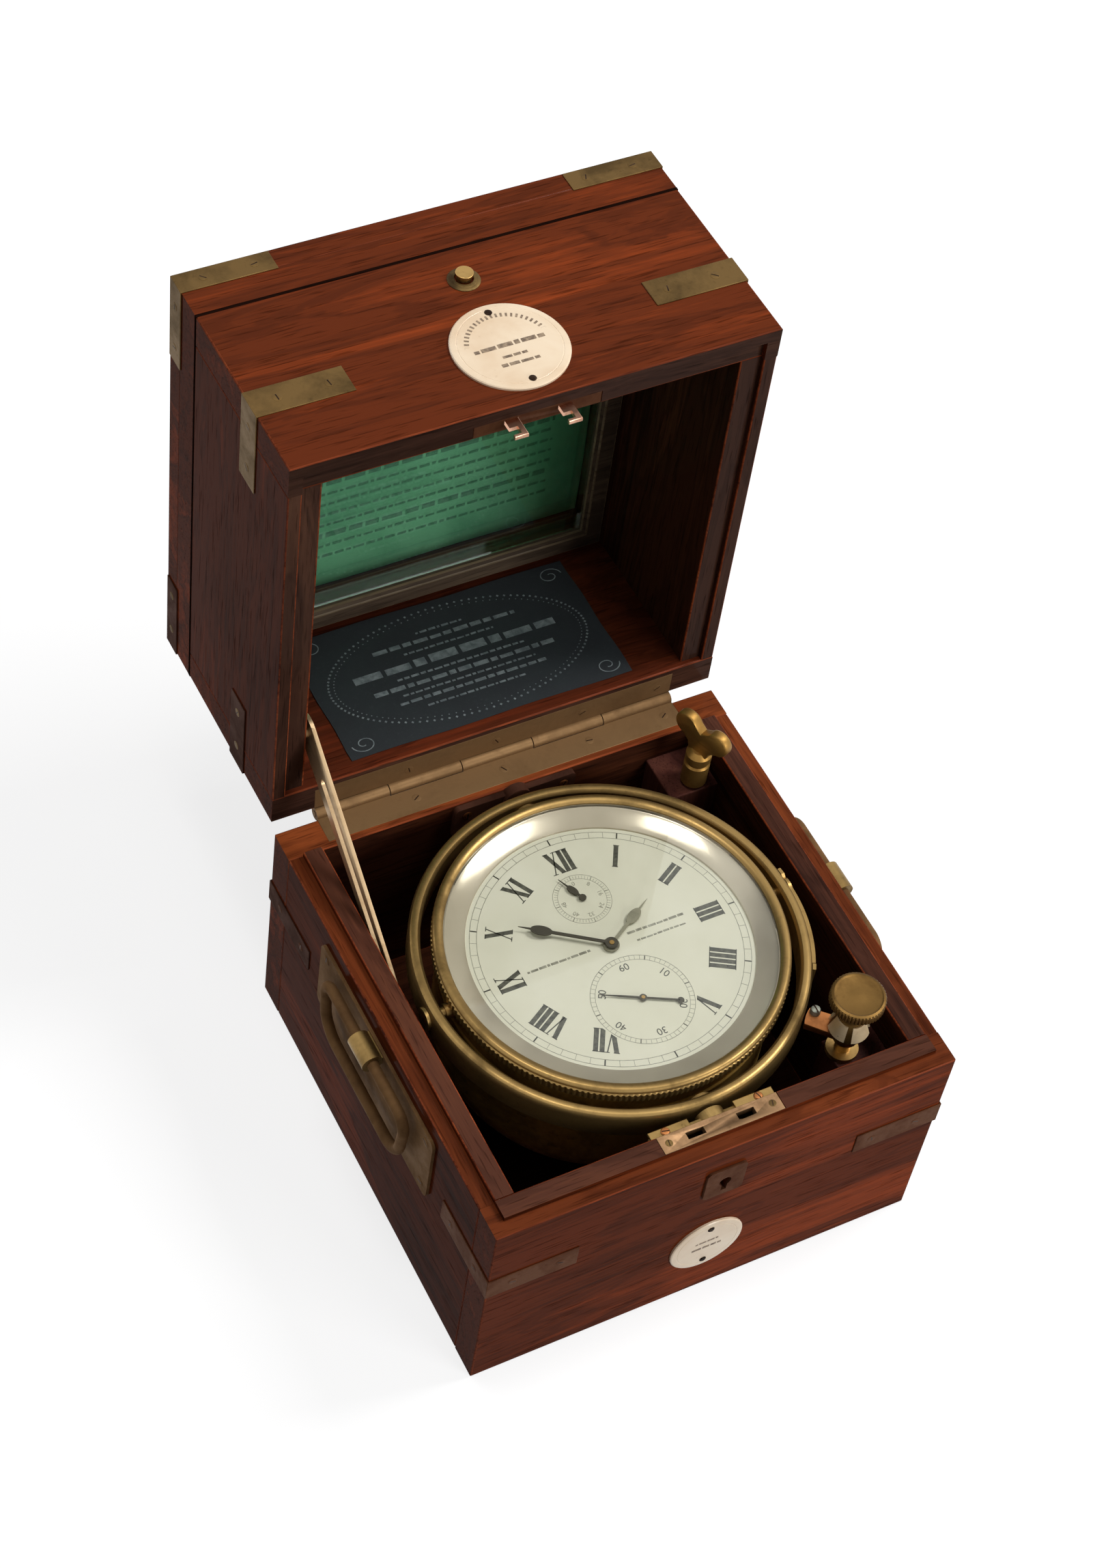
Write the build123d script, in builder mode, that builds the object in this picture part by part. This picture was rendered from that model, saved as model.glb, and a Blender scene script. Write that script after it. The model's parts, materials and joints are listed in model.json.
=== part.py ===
from build123d import *
import os
from math import atan2, cos, degrees, hypot, radians, sin

# A marine chronometer in its three-tier mahogany box, with both tiers of the lid shut together
# and swung open. Millimetres, +Z up, the origin in the middle of the underside of the base.

# Sizes of the wooden case
case_width = 182.0
case_depth = case_width
wall = 13.0
bottom_thickness = 9.0
base_height = 98.0
mid_height = 75.6
top_height = 21.0
panel_thickness = 9.0
tier_gap = 0.6
upper_gap = 0.4
lid_open_angle = 91.0
edge_softening = 0.8

# The stepped rim where base and lid meet
rim_strip = 5.5
lip_height = 2.2
lip_clearance = 0.4

# Heights with the lid shut
lid_bottom = base_height + tier_gap
mid_top = lid_bottom + mid_height
top_bottom = mid_top + upper_gap
top_top = top_bottom + top_height
half_width = case_width / 2
half_depth = case_depth / 2
inside_x = half_width - wall
inside_y = half_depth - wall
lip_top = base_height + lip_height

# Hinges
main_leaf_width = 10.5
top_leaf_width = 5.0
leaf_thickness = 1.5
main_hinge_length = 148.0
main_knuckles = 5
main_knuckle_radius = 2.6
main_pin_radius = 1.2
main_setback = 2.8
top_hinge_length = 120.0
top_knuckles = 5
top_knuckle_radius = 2.0
top_pin_radius = 0.9
top_setback = 2.2
knuckle_gap = 0.4
running_fit = 0.05
seat_gap = 0.2

# Brass straps, plaques and escutcheon
strap_thickness = 0.5
strap_leg = 35.0
base_strap_depth = 39.5
base_strap_low = base_height - base_strap_depth
base_strap_width = 11.0
mid_strap_rise = 25.0
mid_strap_low = lid_bottom + mid_strap_rise
mid_strap_width = 12.0
top_strap_width = 9.0
plaque_thickness = 1.1
base_plaque_radius = 14.7
base_plaque_height = 33.0
mid_plaque_radius = 20.5
mid_plaque_rise = 25.0
mid_plaque_height = lid_bottom + mid_plaque_rise
escutcheon_width = 17.0
escutcheon_height = 16.0
escutcheon_depth = 21.0
escutcheon_middle = base_height - escutcheon_depth
escutcheon_thickness = 1.0
keyhole_radius = 2.4
keyhole_slot_width = 2.2
keyhole_slot_drop = 5.5

# Lock in the front of the base, and the hooks that hang from the lid into it
lock_half_width = 24.0
lock_depth = 25.0
lock_front = 5.6
lock_shell = 1.2
selvage_thickness = 1.6
slot_spacing = 20.0
slot_length = 7.0
slot_width = 2.8
hook_length = 5.0
hook_thickness = 1.6
hook_drop = 8.0
hook_eye_width = 3.0
hook_eye_height = 3.2
link_plate_thickness = 1.4
bolt_travel = 3.0
bolt_finger = 3.0
bolt_tongue = 3.0
bolt_tongue_height = 2.0
bolt_bar_height = 4.0

# Side handles
handle_plate_length = 92.0
handle_plate_height = 35.0
handle_plate_depth = 25.5
handle_plate_middle = base_height - handle_plate_depth
handle_plate_thickness = 1.2
handle_pivot_rise = 14.5
handle_pivot_height = handle_plate_middle + handle_pivot_rise
handle_standoff = 5.2
handle_rod_radius = 2.1
handle_boss_radius = 4.0
handle_boss_length = 12.0
handle_half_span = 33.0
handle_drop = 26.0
handle_top_bend = 6.0
handle_low_bend = 11.0

# Gimbals and bowl, which fill the inside of the base
gimbal_depth = 4.0
gimbal_height = base_height - gimbal_depth
ring_clearance = 5.0
ring_outer = inside_x - ring_clearance
ring_thickness = 4.5
ring_inner = ring_outer - ring_thickness
ring_height = 12.0
pivot_radius = 2.0
pivot_head_radius = 4.3
pivot_head_height = 1.2
bracket_half_width = 25.0
bracket_drop = 14.0
bracket_rise = 3.0
bracket_low = gimbal_height - bracket_drop
bracket_high = gimbal_height + bracket_rise
bracket_thickness = 2.4
bracket_boss_radius = 5.5
bracket_boss_length = 1.5
bowl_clearance = 7.0
bowl_outer = ring_inner - bowl_clearance
bowl_wall = 1.9
bowl_rise = 3.0
bowl_depth = 61.0
bowl_top = gimbal_height + bowl_rise
bowl_bottom = bowl_top - bowl_depth
bowl_rounding = 18.0
bush_radius = 2.9
bush_end_gap = 2.3
bush_reach = ring_inner - bush_end_gap
pivot_tip_gap = 0.9
pivot_tip = bowl_outer + pivot_tip_gap
bezel_gap = 3.5
bezel_outer = ring_inner - bezel_gap
bezel_width = 4.2
bezel_inner = bezel_outer - bezel_width
bezel_height = 6.5
bezel_top = bowl_top + bezel_height
bezel_chamfer = 2.4
bezel_lip = 1.3
glass_rise = 4.0
glass_low = bowl_top + glass_rise
glass_thickness = 1.4
glass_gap = 0.1

# Dial, reflector and hands
dial_edge_gap = 0.4
dial_radius = bezel_inner - dial_edge_gap
dial_thickness = 1.2
dial_rise = 0.7
dial_top = bowl_top + dial_rise
reflector_width = 8.3
dial_visible_radius = bezel_inner - reflector_width
reflector_edge = 0.6
arbor_radius = 0.9
subdial_arbor_radius = 0.7
seconds_edge_distance = 28.0
reserve_edge_distance = 30.0
seconds_offset = seconds_edge_distance - dial_visible_radius
reserve_offset = dial_visible_radius - reserve_edge_distance
hand_thickness = 0.5
hand_boss_radius = 2.4
small_boss_radius = 1.4
hour_hand_rise = 0.9
minute_hand_rise = 2.0
small_hand_rise = 0.7
hour_hand_low = dial_top + hour_hand_rise
minute_hand_low = dial_top + minute_hand_rise
hour_pipe_radius = 1.8
small_hand_low = dial_top + small_hand_rise
hour_hand_length = 25.0
hour_pear_place = 15.5
minute_hand_length = 34.0
minute_pear_place = 25.5
seconds_hand_length = 16.0
reserve_hand_length = 11.5
hour_angle = 59.0
minute_angle = 304.5
seconds_angle = 297.0
reserve_angle = 336.0

# Movement frame and wheels inside the bowl
front_plate_thickness = 3.5
plate_fit = 0.3
front_plate_radius = bowl_outer - bowl_wall - plate_fit
back_plate_depth = 35.0
back_plate_low = bowl_top - back_plate_depth
back_plate_thickness = 2.5
plate_step = 9.3
back_plate_radius = front_plate_radius - plate_step
pillar_radius = 3.0
pillar_edge_distance = 4.0
pillar_circle = back_plate_radius - pillar_edge_distance
pillar_angles = (90, 195, 270, 345)
wheel_thickness = 1.6
centre_wheel_radius = 17.0
centre_wheel_teeth = 64
centre_wheel_rise = 4.0
centre_wheel_low = back_plate_low + centre_wheel_rise
fourth_wheel_radius = 13.0
fourth_wheel_teeth = 60
fourth_wheel_rise = 13.0
fourth_wheel_low = back_plate_low + fourth_wheel_rise
tooth_height = 0.8
spoke_hole_count = 5
drum_edge_distance = 6.0
barrel_clearance = 6.0
barrel_radius = (back_plate_radius - drum_edge_distance - barrel_clearance) / 2
drum_x = barrel_clearance + barrel_radius
barrel_height = 19.0
barrel_wall = 2.647
drum_y = 2.475
drum_rise = 7.0
drum_low = back_plate_low + drum_rise
fusee_clearance = 8.0
fusee_radius = drum_x - fusee_clearance
fusee_top_radius = 8.5
fusee_steps = 6
drum_arbor_radius = 2.0
balance_radius = 16.0
balance_rim = 2.2
balance_thickness = 2.6
balance_drop = 10.0
balance_low = back_plate_low - balance_drop
balance_x = 0.0
balance_y = 16.0
balance_spring_radius = 5.5
balance_spring_wall = 0.8
balance_spring_height = 5.0

# Corner blocks, transit lock and winding key
block_ring_clearance = 8.0
block_clear_radius = ring_outer + block_ring_clearance
block_width = 20.5
block_inner = inside_x - block_width
block_depth = 15.0
block_top = base_height - block_depth
key_block_depth = 12.0
key_block_top = base_height - key_block_depth
post_side_distance = 15.5
post_front_distance = 14.5
post_x = inside_x - post_side_distance
post_y = post_front_distance - inside_y
post_flange_radius = 6.0
post_flange_height = 2.0
post_radius = 3.0
stud_radius = 2.0
stud_rise = 17.5
stud_top = base_height + stud_rise
arm_depth = 5.0
arm_low = base_height - arm_depth
arm_thickness = 3.0
arm_width = 8.0
arm_ring_gap = 0.6
collar_radius = 4.6
collar_height = 2.0
sleeve_radius = 4.2
knob_radius = 10.1
knob_height = 4.5
knob_rise = 20.0
knob_top = base_height + knob_rise
knob_grooves = 40
knob_groove_radius = 0.5
key_side_distance = 8.5
key_back_distance = 15.5
key_x = inside_x - key_side_distance
key_y = inside_y - key_back_distance
key_shaft_radius = 3.4
key_hole_depth = 36.0
key_low = key_block_top - key_hole_depth
key_barrel_radius = 5.0
key_barrel_gap = 1.0
key_shoulder_rise = 6.0
key_shoulder = base_height + key_shoulder_rise
key_wing_height = 16.0
key_top = key_shoulder + key_wing_height
key_wing_angle = -69.0
key_wing_spacing = 15.0
key_wing_radius = 5.0
key_wing_thickness = 4.0
key_square = 3.0
key_square_depth = 12.0
block_bore_clearance = 0.1

# Lid stay on the left: an arm pivoted in the lid, with a stud for its slot in the base
stay_wall_gap = 2.5
stay_x = stay_wall_gap - inside_x
stay_thickness = 1.4
stay_lid_distance = 41.0
stay_lid_rise = 6.3
stay_stud_y = 20.0
stay_stud_depth = 13.7
stay_stud_z = base_height - stay_stud_depth
stay_pivot_end = 7.5
stay_free_end = 5.8
stay_slot_width = 4.4
stay_slot_start = 20.0
stay_pin_radius = 2.0
stay_pin_reach = 7.0
stay_head_radius = 3.6
stay_head_height = 0.8
stud_body_radius = 3.0

# Glass in the top of the middle tier
bead_depth = 7.0
bead_top_gap = 0.6
bead_low = mid_top - bead_depth
bead_high = mid_top - bead_top_gap
bead_inset = 8.5
bead_rebate = 3.5
pane_thickness = 2.8
pane_clearance = 0.3

# Push-button catch for the top tier
button_drop = 15.6
button_height = mid_top - button_drop
button_radius = 2.6
button_head_radius = 3.2
button_head_reach = 2.6
rose_thickness = 1.0
button_travel = 2.0
mortise_half_width = 4.5
mortise_front = 2.6
mortise_back = 11.2
mortise_drop = 4.5
mortise_low = button_height - mortise_drop
latch_half_width = 3.0
latch_thickness = 1.1
latch_front = 7.8
latch_nose = 1.5
latch_nose_height = 1.5
latch_gap = 3.2
latch_top = mid_top - latch_gap
hook_front = 2.9
hook_nose = 2.1
hook_nose_height = 1.5
hook_reach = 6.6
hook_bottom = mid_top - hook_reach

os.makedirs("parts", exist_ok=True)


def save(part, name):
    """Label one finished piece and write it under its own name."""
    part.label = name
    export_step(part, f"parts/{name}.step")


# The hinge axes, both along X
main_axis_y = half_depth + main_setback
main_axis_z = base_height + tier_gap / 2
top_axis_y = half_depth + top_setback
top_axis_z = mid_top + upper_gap / 2
main_axis = Axis((0, main_axis_y, main_axis_z), (1, 0, 0))


def opened(part):
    """Swing a piece of the lid, modelled shut, to the open position about the main hinge."""
    return part.rotate(main_axis, -lid_open_angle)


def opened_point(y, z):
    """Where a point of the shut lid lies once the lid stands open."""
    turn = radians(-lid_open_angle)
    dy = y - main_axis_y
    dz = z - main_axis_z
    return main_axis_y + dy * cos(turn) - dz * sin(turn), main_axis_z + dy * sin(turn) + dz * cos(turn)


def block(size, middle):
    """A plain block by its size and its middle, for adding to or taking from a piece."""
    return Pos(*middle) * Box(*size, mode=Mode.PRIVATE)


# Wooden boards. Front and back run the full width, and the sides fit between them.
def board_block(side, low, high):
    """The plain block of one wall of a tier."""
    middle = (low + high) / 2
    if side in ("front", "back"):
        sign = -1 if side == "front" else 1
        return block((case_width, wall, high - low), (0, sign * (half_depth - wall / 2), middle))
    sign = -1 if side == "left" else 1
    return block((wall, case_depth - 2 * wall, high - low), (sign * (half_width - wall / 2), 0, middle))


def frame_block(inset, low, high):
    """A square block over the whole case, drawn in by the given inset."""
    return block((case_width - 2 * inset, case_depth - 2 * inset, high - low), (0, 0, (low + high) / 2))


base_rim_cut = frame_block(-1, base_height, lip_top) - frame_block(rim_strip, base_height, lip_top)
lid_rim_cut = frame_block(rim_strip - lip_clearance, lid_bottom, lid_bottom + lip_height)
lock_pocket_width = 2 * lock_half_width
lock_pocket_height = lock_depth + selvage_thickness
lock_y = -(half_depth - lock_front - (wall - lock_front) / 2)
lock_pocket = block(
    (lock_pocket_width, wall - lock_front, lock_pocket_height), (0, lock_y, lip_top - lock_pocket_height / 2)
)


def leaf_recess(length, width, low):
    """The recess for one hinge leaf, open at the back face."""
    middle = (0, half_depth + (1 - width) / 2, low + leaf_thickness / 2)
    return block((length, width + 1, leaf_thickness), middle)


def keyhole(depth, middle_y):
    """A keyhole along Y: a round eye with a slot below it."""
    eye_place = Pos(0, middle_y, escutcheon_middle) * Rot(90, 0, 0)
    eye = eye_place * Cylinder(keyhole_radius, depth, mode=Mode.PRIVATE)
    slot_middle = (0, middle_y, escutcheon_middle - keyhole_slot_drop / 2)
    return eye + block((keyhole_slot_width, depth, keyhole_slot_drop), slot_middle)


with BuildPart() as base_front_board:
    add(board_block("front", 0, lip_top))
    add(base_rim_cut, mode=Mode.SUBTRACT)
    add(lock_pocket, mode=Mode.SUBTRACT)
    add(keyhole(2 * wall, -half_depth), mode=Mode.SUBTRACT)
save(base_front_board.part, "base_front_board")

# The rim has no step along the back, where the wide hinge leaves lie on it
with BuildPart() as base_back_board:
    add(board_block("back", 0, base_height))
    add(leaf_recess(main_hinge_length, main_leaf_width, base_height - leaf_thickness), mode=Mode.SUBTRACT)
save(base_back_board.part, "base_back_board")

for side in ("left", "right"):
    with BuildPart() as base_side_board:
        add(board_block(side, 0, lip_top))
        add(base_rim_cut, mode=Mode.SUBTRACT)
    save(base_side_board.part, f"base_{side}_board")

with BuildPart() as base_bottom_board:
    with BuildSketch():
        Rectangle(2 * inside_x, 2 * inside_y)
    extrude(amount=bottom_thickness)
save(base_bottom_board.part, "base_bottom_board")


# The front mortise of the middle tier holds the catch, and is open above for the hook
catch_mortise = block(
    (2 * mortise_half_width, mortise_back - mortise_front, mid_top - mortise_low),
    (0, -half_depth + (mortise_front + mortise_back) / 2, (mid_top + mortise_low) / 2),
)
stay_pivot_shut = (main_axis_y - stay_lid_distance, main_axis_z + stay_lid_rise)
stay_pivot_y, stay_pivot_z = opened_point(*stay_pivot_shut)
link_low = lid_bottom + lip_height
link_middle = (0, lock_y, link_low + link_plate_thickness / 2)
link_recess = block((lock_pocket_width, wall - lock_front, link_plate_thickness), link_middle)

with BuildPart() as mid_front_board:
    add(board_block("front", lid_bottom, mid_top))
    add(lid_rim_cut, mode=Mode.SUBTRACT)
    add(link_recess, mode=Mode.SUBTRACT)
    add(catch_mortise, mode=Mode.SUBTRACT)
    with Locations(Plane(origin=(0, -half_depth, button_height), z_dir=(0, -1, 0))):
        Cylinder(button_radius + running_fit, 2 * latch_front, mode=Mode.SUBTRACT)
save(opened(mid_front_board.part), "mid_front_board")

with BuildPart() as mid_back_board:
    add(board_block("back", lid_bottom, mid_top))
    add(leaf_recess(main_hinge_length, main_leaf_width, lid_bottom), mode=Mode.SUBTRACT)
    add(leaf_recess(top_hinge_length, top_leaf_width, mid_top - leaf_thickness), mode=Mode.SUBTRACT)
save(opened(mid_back_board.part), "mid_back_board")

with BuildPart() as mid_left_board:
    add(board_block("left", lid_bottom, mid_top))
    add(lid_rim_cut, mode=Mode.SUBTRACT)
    pin_hole_place = Plane(origin=(-inside_x, *stay_pivot_shut), z_dir=(1, 0, 0))
    with Locations(pin_hole_place):
        Cylinder(stay_pin_radius + running_fit, 2 * stay_pin_reach, mode=Mode.SUBTRACT)
save(opened(mid_left_board.part), "mid_left_board")

with BuildPart() as mid_right_board:
    add(board_block("right", lid_bottom, mid_top))
    add(lid_rim_cut, mode=Mode.SUBTRACT)
save(opened(mid_right_board.part), "mid_right_board")

# The top tier is a shallow tray: four rim strips under one panel
frame_high = top_top - panel_thickness
top_frame_strips = [board_block(side, top_bottom, frame_high) for side in ("front", "left", "right")]
with BuildPart() as top_back_strip:
    add(board_block("back", top_bottom, frame_high))
    add(leaf_recess(top_hinge_length, top_leaf_width, top_bottom), mode=Mode.SUBTRACT)
top_frame_strips.append(top_back_strip.part)
save(opened(Compound(children=top_frame_strips)), "top_frame")

with BuildPart() as top_panel:
    with BuildSketch(Plane.XY.offset(frame_high)):
        Rectangle(case_width, case_depth)
    extrude(amount=panel_thickness)
    fillet(top_panel.faces().sort_by(Axis.Z)[-1].edges(), edge_softening)
save(opened(top_panel.part), "top_panel")


# Hinges: two leaves let into the wood, with knuckles that share a pin
def hinge_leaf(length, width, knuckles, first, axis_y, axis_z, radius, pin_radius, leaf_low):
    """One leaf with every second knuckle, starting from the given one."""
    pitch = length / knuckles
    knuckle_length = pitch - knuckle_gap
    with BuildPart() as leaf:
        with Locations((0, half_depth - width / 2, leaf_low + leaf_thickness / 2)):
            Box(length, width, leaf_thickness)
        for index in range(first, knuckles, 2):
            middle = -length / 2 + pitch * (index + 0.5)
            web_depth = axis_y - half_depth + width / 2
            with Locations((middle, axis_y - web_depth / 2, leaf_low + leaf_thickness / 2)):
                Box(knuckle_length, web_depth, leaf_thickness)
            with Locations(Plane(origin=(middle, axis_y, axis_z), z_dir=(1, 0, 0))):
                Cylinder(radius, knuckle_length)
        with Locations(Plane(origin=(0, axis_y, axis_z), z_dir=(1, 0, 0))):
            Cylinder(pin_radius + running_fit, 2 * length, mode=Mode.SUBTRACT)
    return leaf.part


def hinge_pin(length, axis_y, axis_z, pin_radius):
    """The pin through all the knuckles of one hinge."""
    with BuildPart() as pin:
        with Locations(Plane(origin=(0, axis_y, axis_z), z_dir=(1, 0, 0))):
            Cylinder(pin_radius, length)
    return pin.part


main_hinge = (main_hinge_length, main_leaf_width, main_knuckles)
main_place = (main_axis_y, main_axis_z, main_knuckle_radius, main_pin_radius)
save(hinge_leaf(*main_hinge, 0, *main_place, base_height - leaf_thickness), "main_hinge_base_leaf")
save(opened(hinge_leaf(*main_hinge, 1, *main_place, lid_bottom)), "main_hinge_lid_leaf")
save(hinge_pin(main_hinge_length, main_axis_y, main_axis_z, main_pin_radius), "main_hinge_pin")

top_hinge = (top_hinge_length, top_leaf_width, top_knuckles)
top_place = (top_axis_y, top_axis_z, top_knuckle_radius, top_pin_radius)
save(opened(hinge_leaf(*top_hinge, 0, *top_place, mid_top - leaf_thickness)), "top_hinge_mid_leaf")
save(opened(hinge_leaf(*top_hinge, 1, *top_place, top_bottom)), "top_hinge_top_leaf")
save(opened(hinge_pin(top_hinge_length, top_axis_y, top_axis_z, top_pin_radius)), "top_hinge_pin")


# Brass straps round the corners of each tier
def corner_straps(low, height):
    """Four L-shaped straps, one round each upright corner."""
    outer = strap_thickness
    straps = []
    for sx in (-1, 1):
        for sy in (-1, 1):
            along_x = Box(strap_leg + outer, outer, height)
            along_y = Box(outer, strap_leg, height)
            middle = low + height / 2
            leg_x = sx * (half_width + outer - (strap_leg + outer) / 2)
            leg_y = sy * (half_depth - strap_leg / 2)
            front_leg = Pos(leg_x, sy * (half_depth + outer / 2), middle) * along_x
            side_leg = Pos(sx * (half_width + outer / 2), leg_y, middle) * along_y
            straps.append(front_leg + side_leg)
    return Compound(children=straps)


save(corner_straps(base_strap_low, base_strap_width), "base_corner_straps")
save(opened(corner_straps(mid_strap_low, mid_strap_width)), "mid_corner_straps")
top_strap_low = top_top - edge_softening - top_strap_width
save(opened(corner_straps(top_strap_low, top_strap_width)), "top_corner_straps")


# Round plaques on the two front faces, and the keyhole plate
def plaque(radius, height):
    """A thin round disc standing on the front face, its rim softened."""
    with BuildPart() as disc:
        with BuildSketch(Plane(origin=(0, -half_depth, height), z_dir=(0, -1, 0))):
            Circle(radius)
        extrude(amount=plaque_thickness)
        fillet(disc.faces().sort_by(Axis.Y)[0].edges(), plaque_thickness / 3)
    return disc.part


save(plaque(base_plaque_radius, base_plaque_height), "base_plaque")
save(opened(plaque(mid_plaque_radius, mid_plaque_height)), "mid_plaque")

with BuildPart() as keyhole_plate:
    with BuildSketch(Plane(origin=(0, -half_depth, escutcheon_middle), z_dir=(0, -1, 0))):
        RectangleRounded(escutcheon_width, escutcheon_height, 2)
    extrude(amount=escutcheon_thickness)
    add(keyhole(wall, -half_depth), mode=Mode.SUBTRACT)
save(keyhole_plate.part, "keyhole_plate")

# Lock: a shell let into the front wall, its top plate slotted for the two hooks of the lid
lock_shell_depth = wall - lock_front - 2 * seat_gap
lock_case_top = lip_top - selvage_thickness
with BuildPart() as lock_case:
    with Locations((0, lock_y, lip_top - selvage_thickness / 2)):
        Box(lock_pocket_width - 2 * seat_gap, wall - lock_front - seat_gap, selvage_thickness)
    lock_body_height = lock_depth - seat_gap
    with Locations((0, lock_y, lock_case_top - lock_body_height / 2)):
        Box(lock_pocket_width - 2 * seat_gap, lock_shell_depth, lock_body_height)
        Box(
            lock_pocket_width - 2 * seat_gap - 2 * lock_shell,
            lock_shell_depth - 2 * lock_shell,
            lock_body_height - 2 * lock_shell,
            mode=Mode.SUBTRACT,
        )
    with Locations((0, lock_y, lip_top)):
        with GridLocations(slot_spacing, 1, 2, 1):
            Box(slot_length, slot_width, 4 * selvage_thickness, mode=Mode.SUBTRACT)
    add(keyhole(lock_shell_depth, lock_y - lock_shell_depth), mode=Mode.SUBTRACT)
save(lock_case.part, "lock_case")

# The bolt slides sideways and its two tongues enter the eyes of the hooks
hook_bottom_shut = link_low - hook_drop
eye_middle = hook_bottom_shut + hook_eye_height / 2 + 1.2
bolt_thickness = 4.0
with BuildPart() as lock_bolt:
    bar_low = eye_middle - bolt_tongue_height / 2 - bolt_finger - bolt_bar_height
    hook_left = -slot_spacing / 2 - hook_length / 2
    finger_right = hook_left - bolt_tongue - 0.5
    bar_length = slot_spacing + bolt_finger
    with BuildSketch(Plane.XZ.offset(-lock_y)):
        with Locations((finger_right - bolt_finger + bar_length / 2, bar_low + bolt_bar_height / 2)):
            Rectangle(bar_length, bolt_bar_height)
        for step in (0, slot_spacing):
            finger_top = eye_middle + bolt_tongue_height / 2
            finger_height = finger_top - bar_low
            with Locations((finger_right - bolt_finger / 2 + step, bar_low + finger_height / 2)):
                Rectangle(bolt_finger, finger_height)
            with Locations((finger_right + bolt_tongue / 2 + step, eye_middle)):
                Rectangle(bolt_tongue, bolt_tongue_height)
    extrude(amount=bolt_thickness / 2, both=True)
save(lock_bolt.part, "lock_bolt")

with BuildPart() as lock_link_plate:
    with Locations((0, lock_y, link_low + link_plate_thickness / 2)):
        Box(lock_pocket_width - 2 * seat_gap, wall - lock_front - 2 * seat_gap, link_plate_thickness)
    with BuildSketch(Plane.XZ.offset(-lock_y)):
        hook_middle = link_low - hook_drop / 2
        with Locations((-slot_spacing / 2, hook_middle), (slot_spacing / 2, hook_middle)):
            Rectangle(hook_length, hook_drop)
        eye_places = [
            (sign * slot_spacing / 2 - hook_length / 2 + hook_eye_width / 2, eye_middle) for sign in (-1, 1)
        ]
        with Locations(*eye_places):
            Rectangle(hook_eye_width, hook_eye_height, mode=Mode.SUBTRACT)
    extrude(amount=hook_thickness / 2, both=True)
save(opened(lock_link_plate.part), "lock_link_plate")

# Push button with its latch, and the hook of the top tier that it holds
latch_face = -half_depth + latch_front
with BuildPart() as catch_button:
    front_y = -half_depth - rose_thickness - button_head_reach
    front_plane = Plane(origin=(0, front_y, button_height), z_dir=(0, 1, 0))
    with BuildSketch(front_plane):
        Circle(button_head_radius)
    extrude(amount=button_head_reach - button_travel)
    fillet(catch_button.faces().sort_by(Axis.Y)[0].edges(), 0.25)
    with BuildSketch(front_plane):
        Circle(button_radius)
    extrude(amount=latch_face + half_depth + rose_thickness + button_head_reach)
    latch_low = mortise_low + seat_gap
    with Locations((0, latch_face + latch_thickness / 2, (latch_low + latch_top) / 2)):
        Box(2 * latch_half_width, latch_thickness, latch_top - latch_low)
    with Locations((0, latch_face - latch_nose / 2, latch_top - latch_nose_height / 2)):
        Box(2 * latch_half_width, latch_nose, latch_nose_height)
save(opened(catch_button.part), "catch_button")

with BuildPart() as catch_hook:
    hook_y = -half_depth + hook_front + latch_thickness / 2
    with Locations((0, hook_y, (hook_bottom + top_bottom) / 2)):
        Box(2 * latch_half_width, latch_thickness, top_bottom - hook_bottom)
    with Locations((0, hook_y + (latch_thickness + hook_nose) / 2, hook_bottom + hook_nose_height / 2)):
        Box(2 * latch_half_width, hook_nose, hook_nose_height)
save(opened(catch_hook.part), "catch_hook")

# Pane of glass and its bead, in the top of the middle tier
bead_outer = (2 * inside_x, 2 * inside_y)
bead_inner = (2 * (inside_x - bead_inset), 2 * (inside_y - bead_inset))
pane_size = (2 * (inside_x - bead_inset + bead_rebate), 2 * (inside_y - bead_inset + bead_rebate))
pane_low = bead_high - pane_thickness
with BuildPart() as glass_bead:
    with BuildSketch(Plane.XY.offset(bead_low)):
        Rectangle(*bead_outer)
        Rectangle(*bead_inner, mode=Mode.SUBTRACT)
    extrude(amount=bead_high - bead_low)
    with BuildSketch(Plane.XY.offset(pane_low)):
        Rectangle(*pane_size)
    extrude(amount=pane_thickness, mode=Mode.SUBTRACT)
    chamfer(glass_bead.faces().sort_by(Axis.Z)[0].inner_wires().edges(), 1.6)
save(opened(glass_bead.part), "glass_bead")

with BuildPart() as lid_glass:
    with BuildSketch(Plane.XY.offset(pane_low)):
        Rectangle(pane_size[0] - 2 * pane_clearance, pane_size[1] - 2 * pane_clearance)
    extrude(amount=pane_thickness)
save(opened(lid_glass.part), "lid_glass")


# Side handles: a plate with one central knuckle, and a bail that hangs from it
handle_axis_x = half_width + handle_standoff


def handle_plate(sign):
    """The plate on one side and the knuckle at its top."""
    with BuildPart() as plate:
        plate_origin = (sign * half_width, 0, handle_plate_middle)
        with BuildSketch(Plane(origin=plate_origin, x_dir=(0, 1, 0), z_dir=(sign, 0, 0))):
            RectangleRounded(handle_plate_length, handle_plate_height, 3)
        extrude(amount=handle_plate_thickness)
        with Locations((sign * (half_width + handle_standoff / 2), 0, handle_pivot_height)):
            Box(handle_standoff, handle_boss_length, handle_boss_radius)
        with Locations(Plane(origin=(sign * handle_axis_x, 0, handle_pivot_height), z_dir=(0, 1, 0))):
            Cylinder(handle_boss_radius, handle_boss_length)
            Cylinder(handle_rod_radius + running_fit, 2 * handle_boss_length, mode=Mode.SUBTRACT)
    return plate.part


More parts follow.
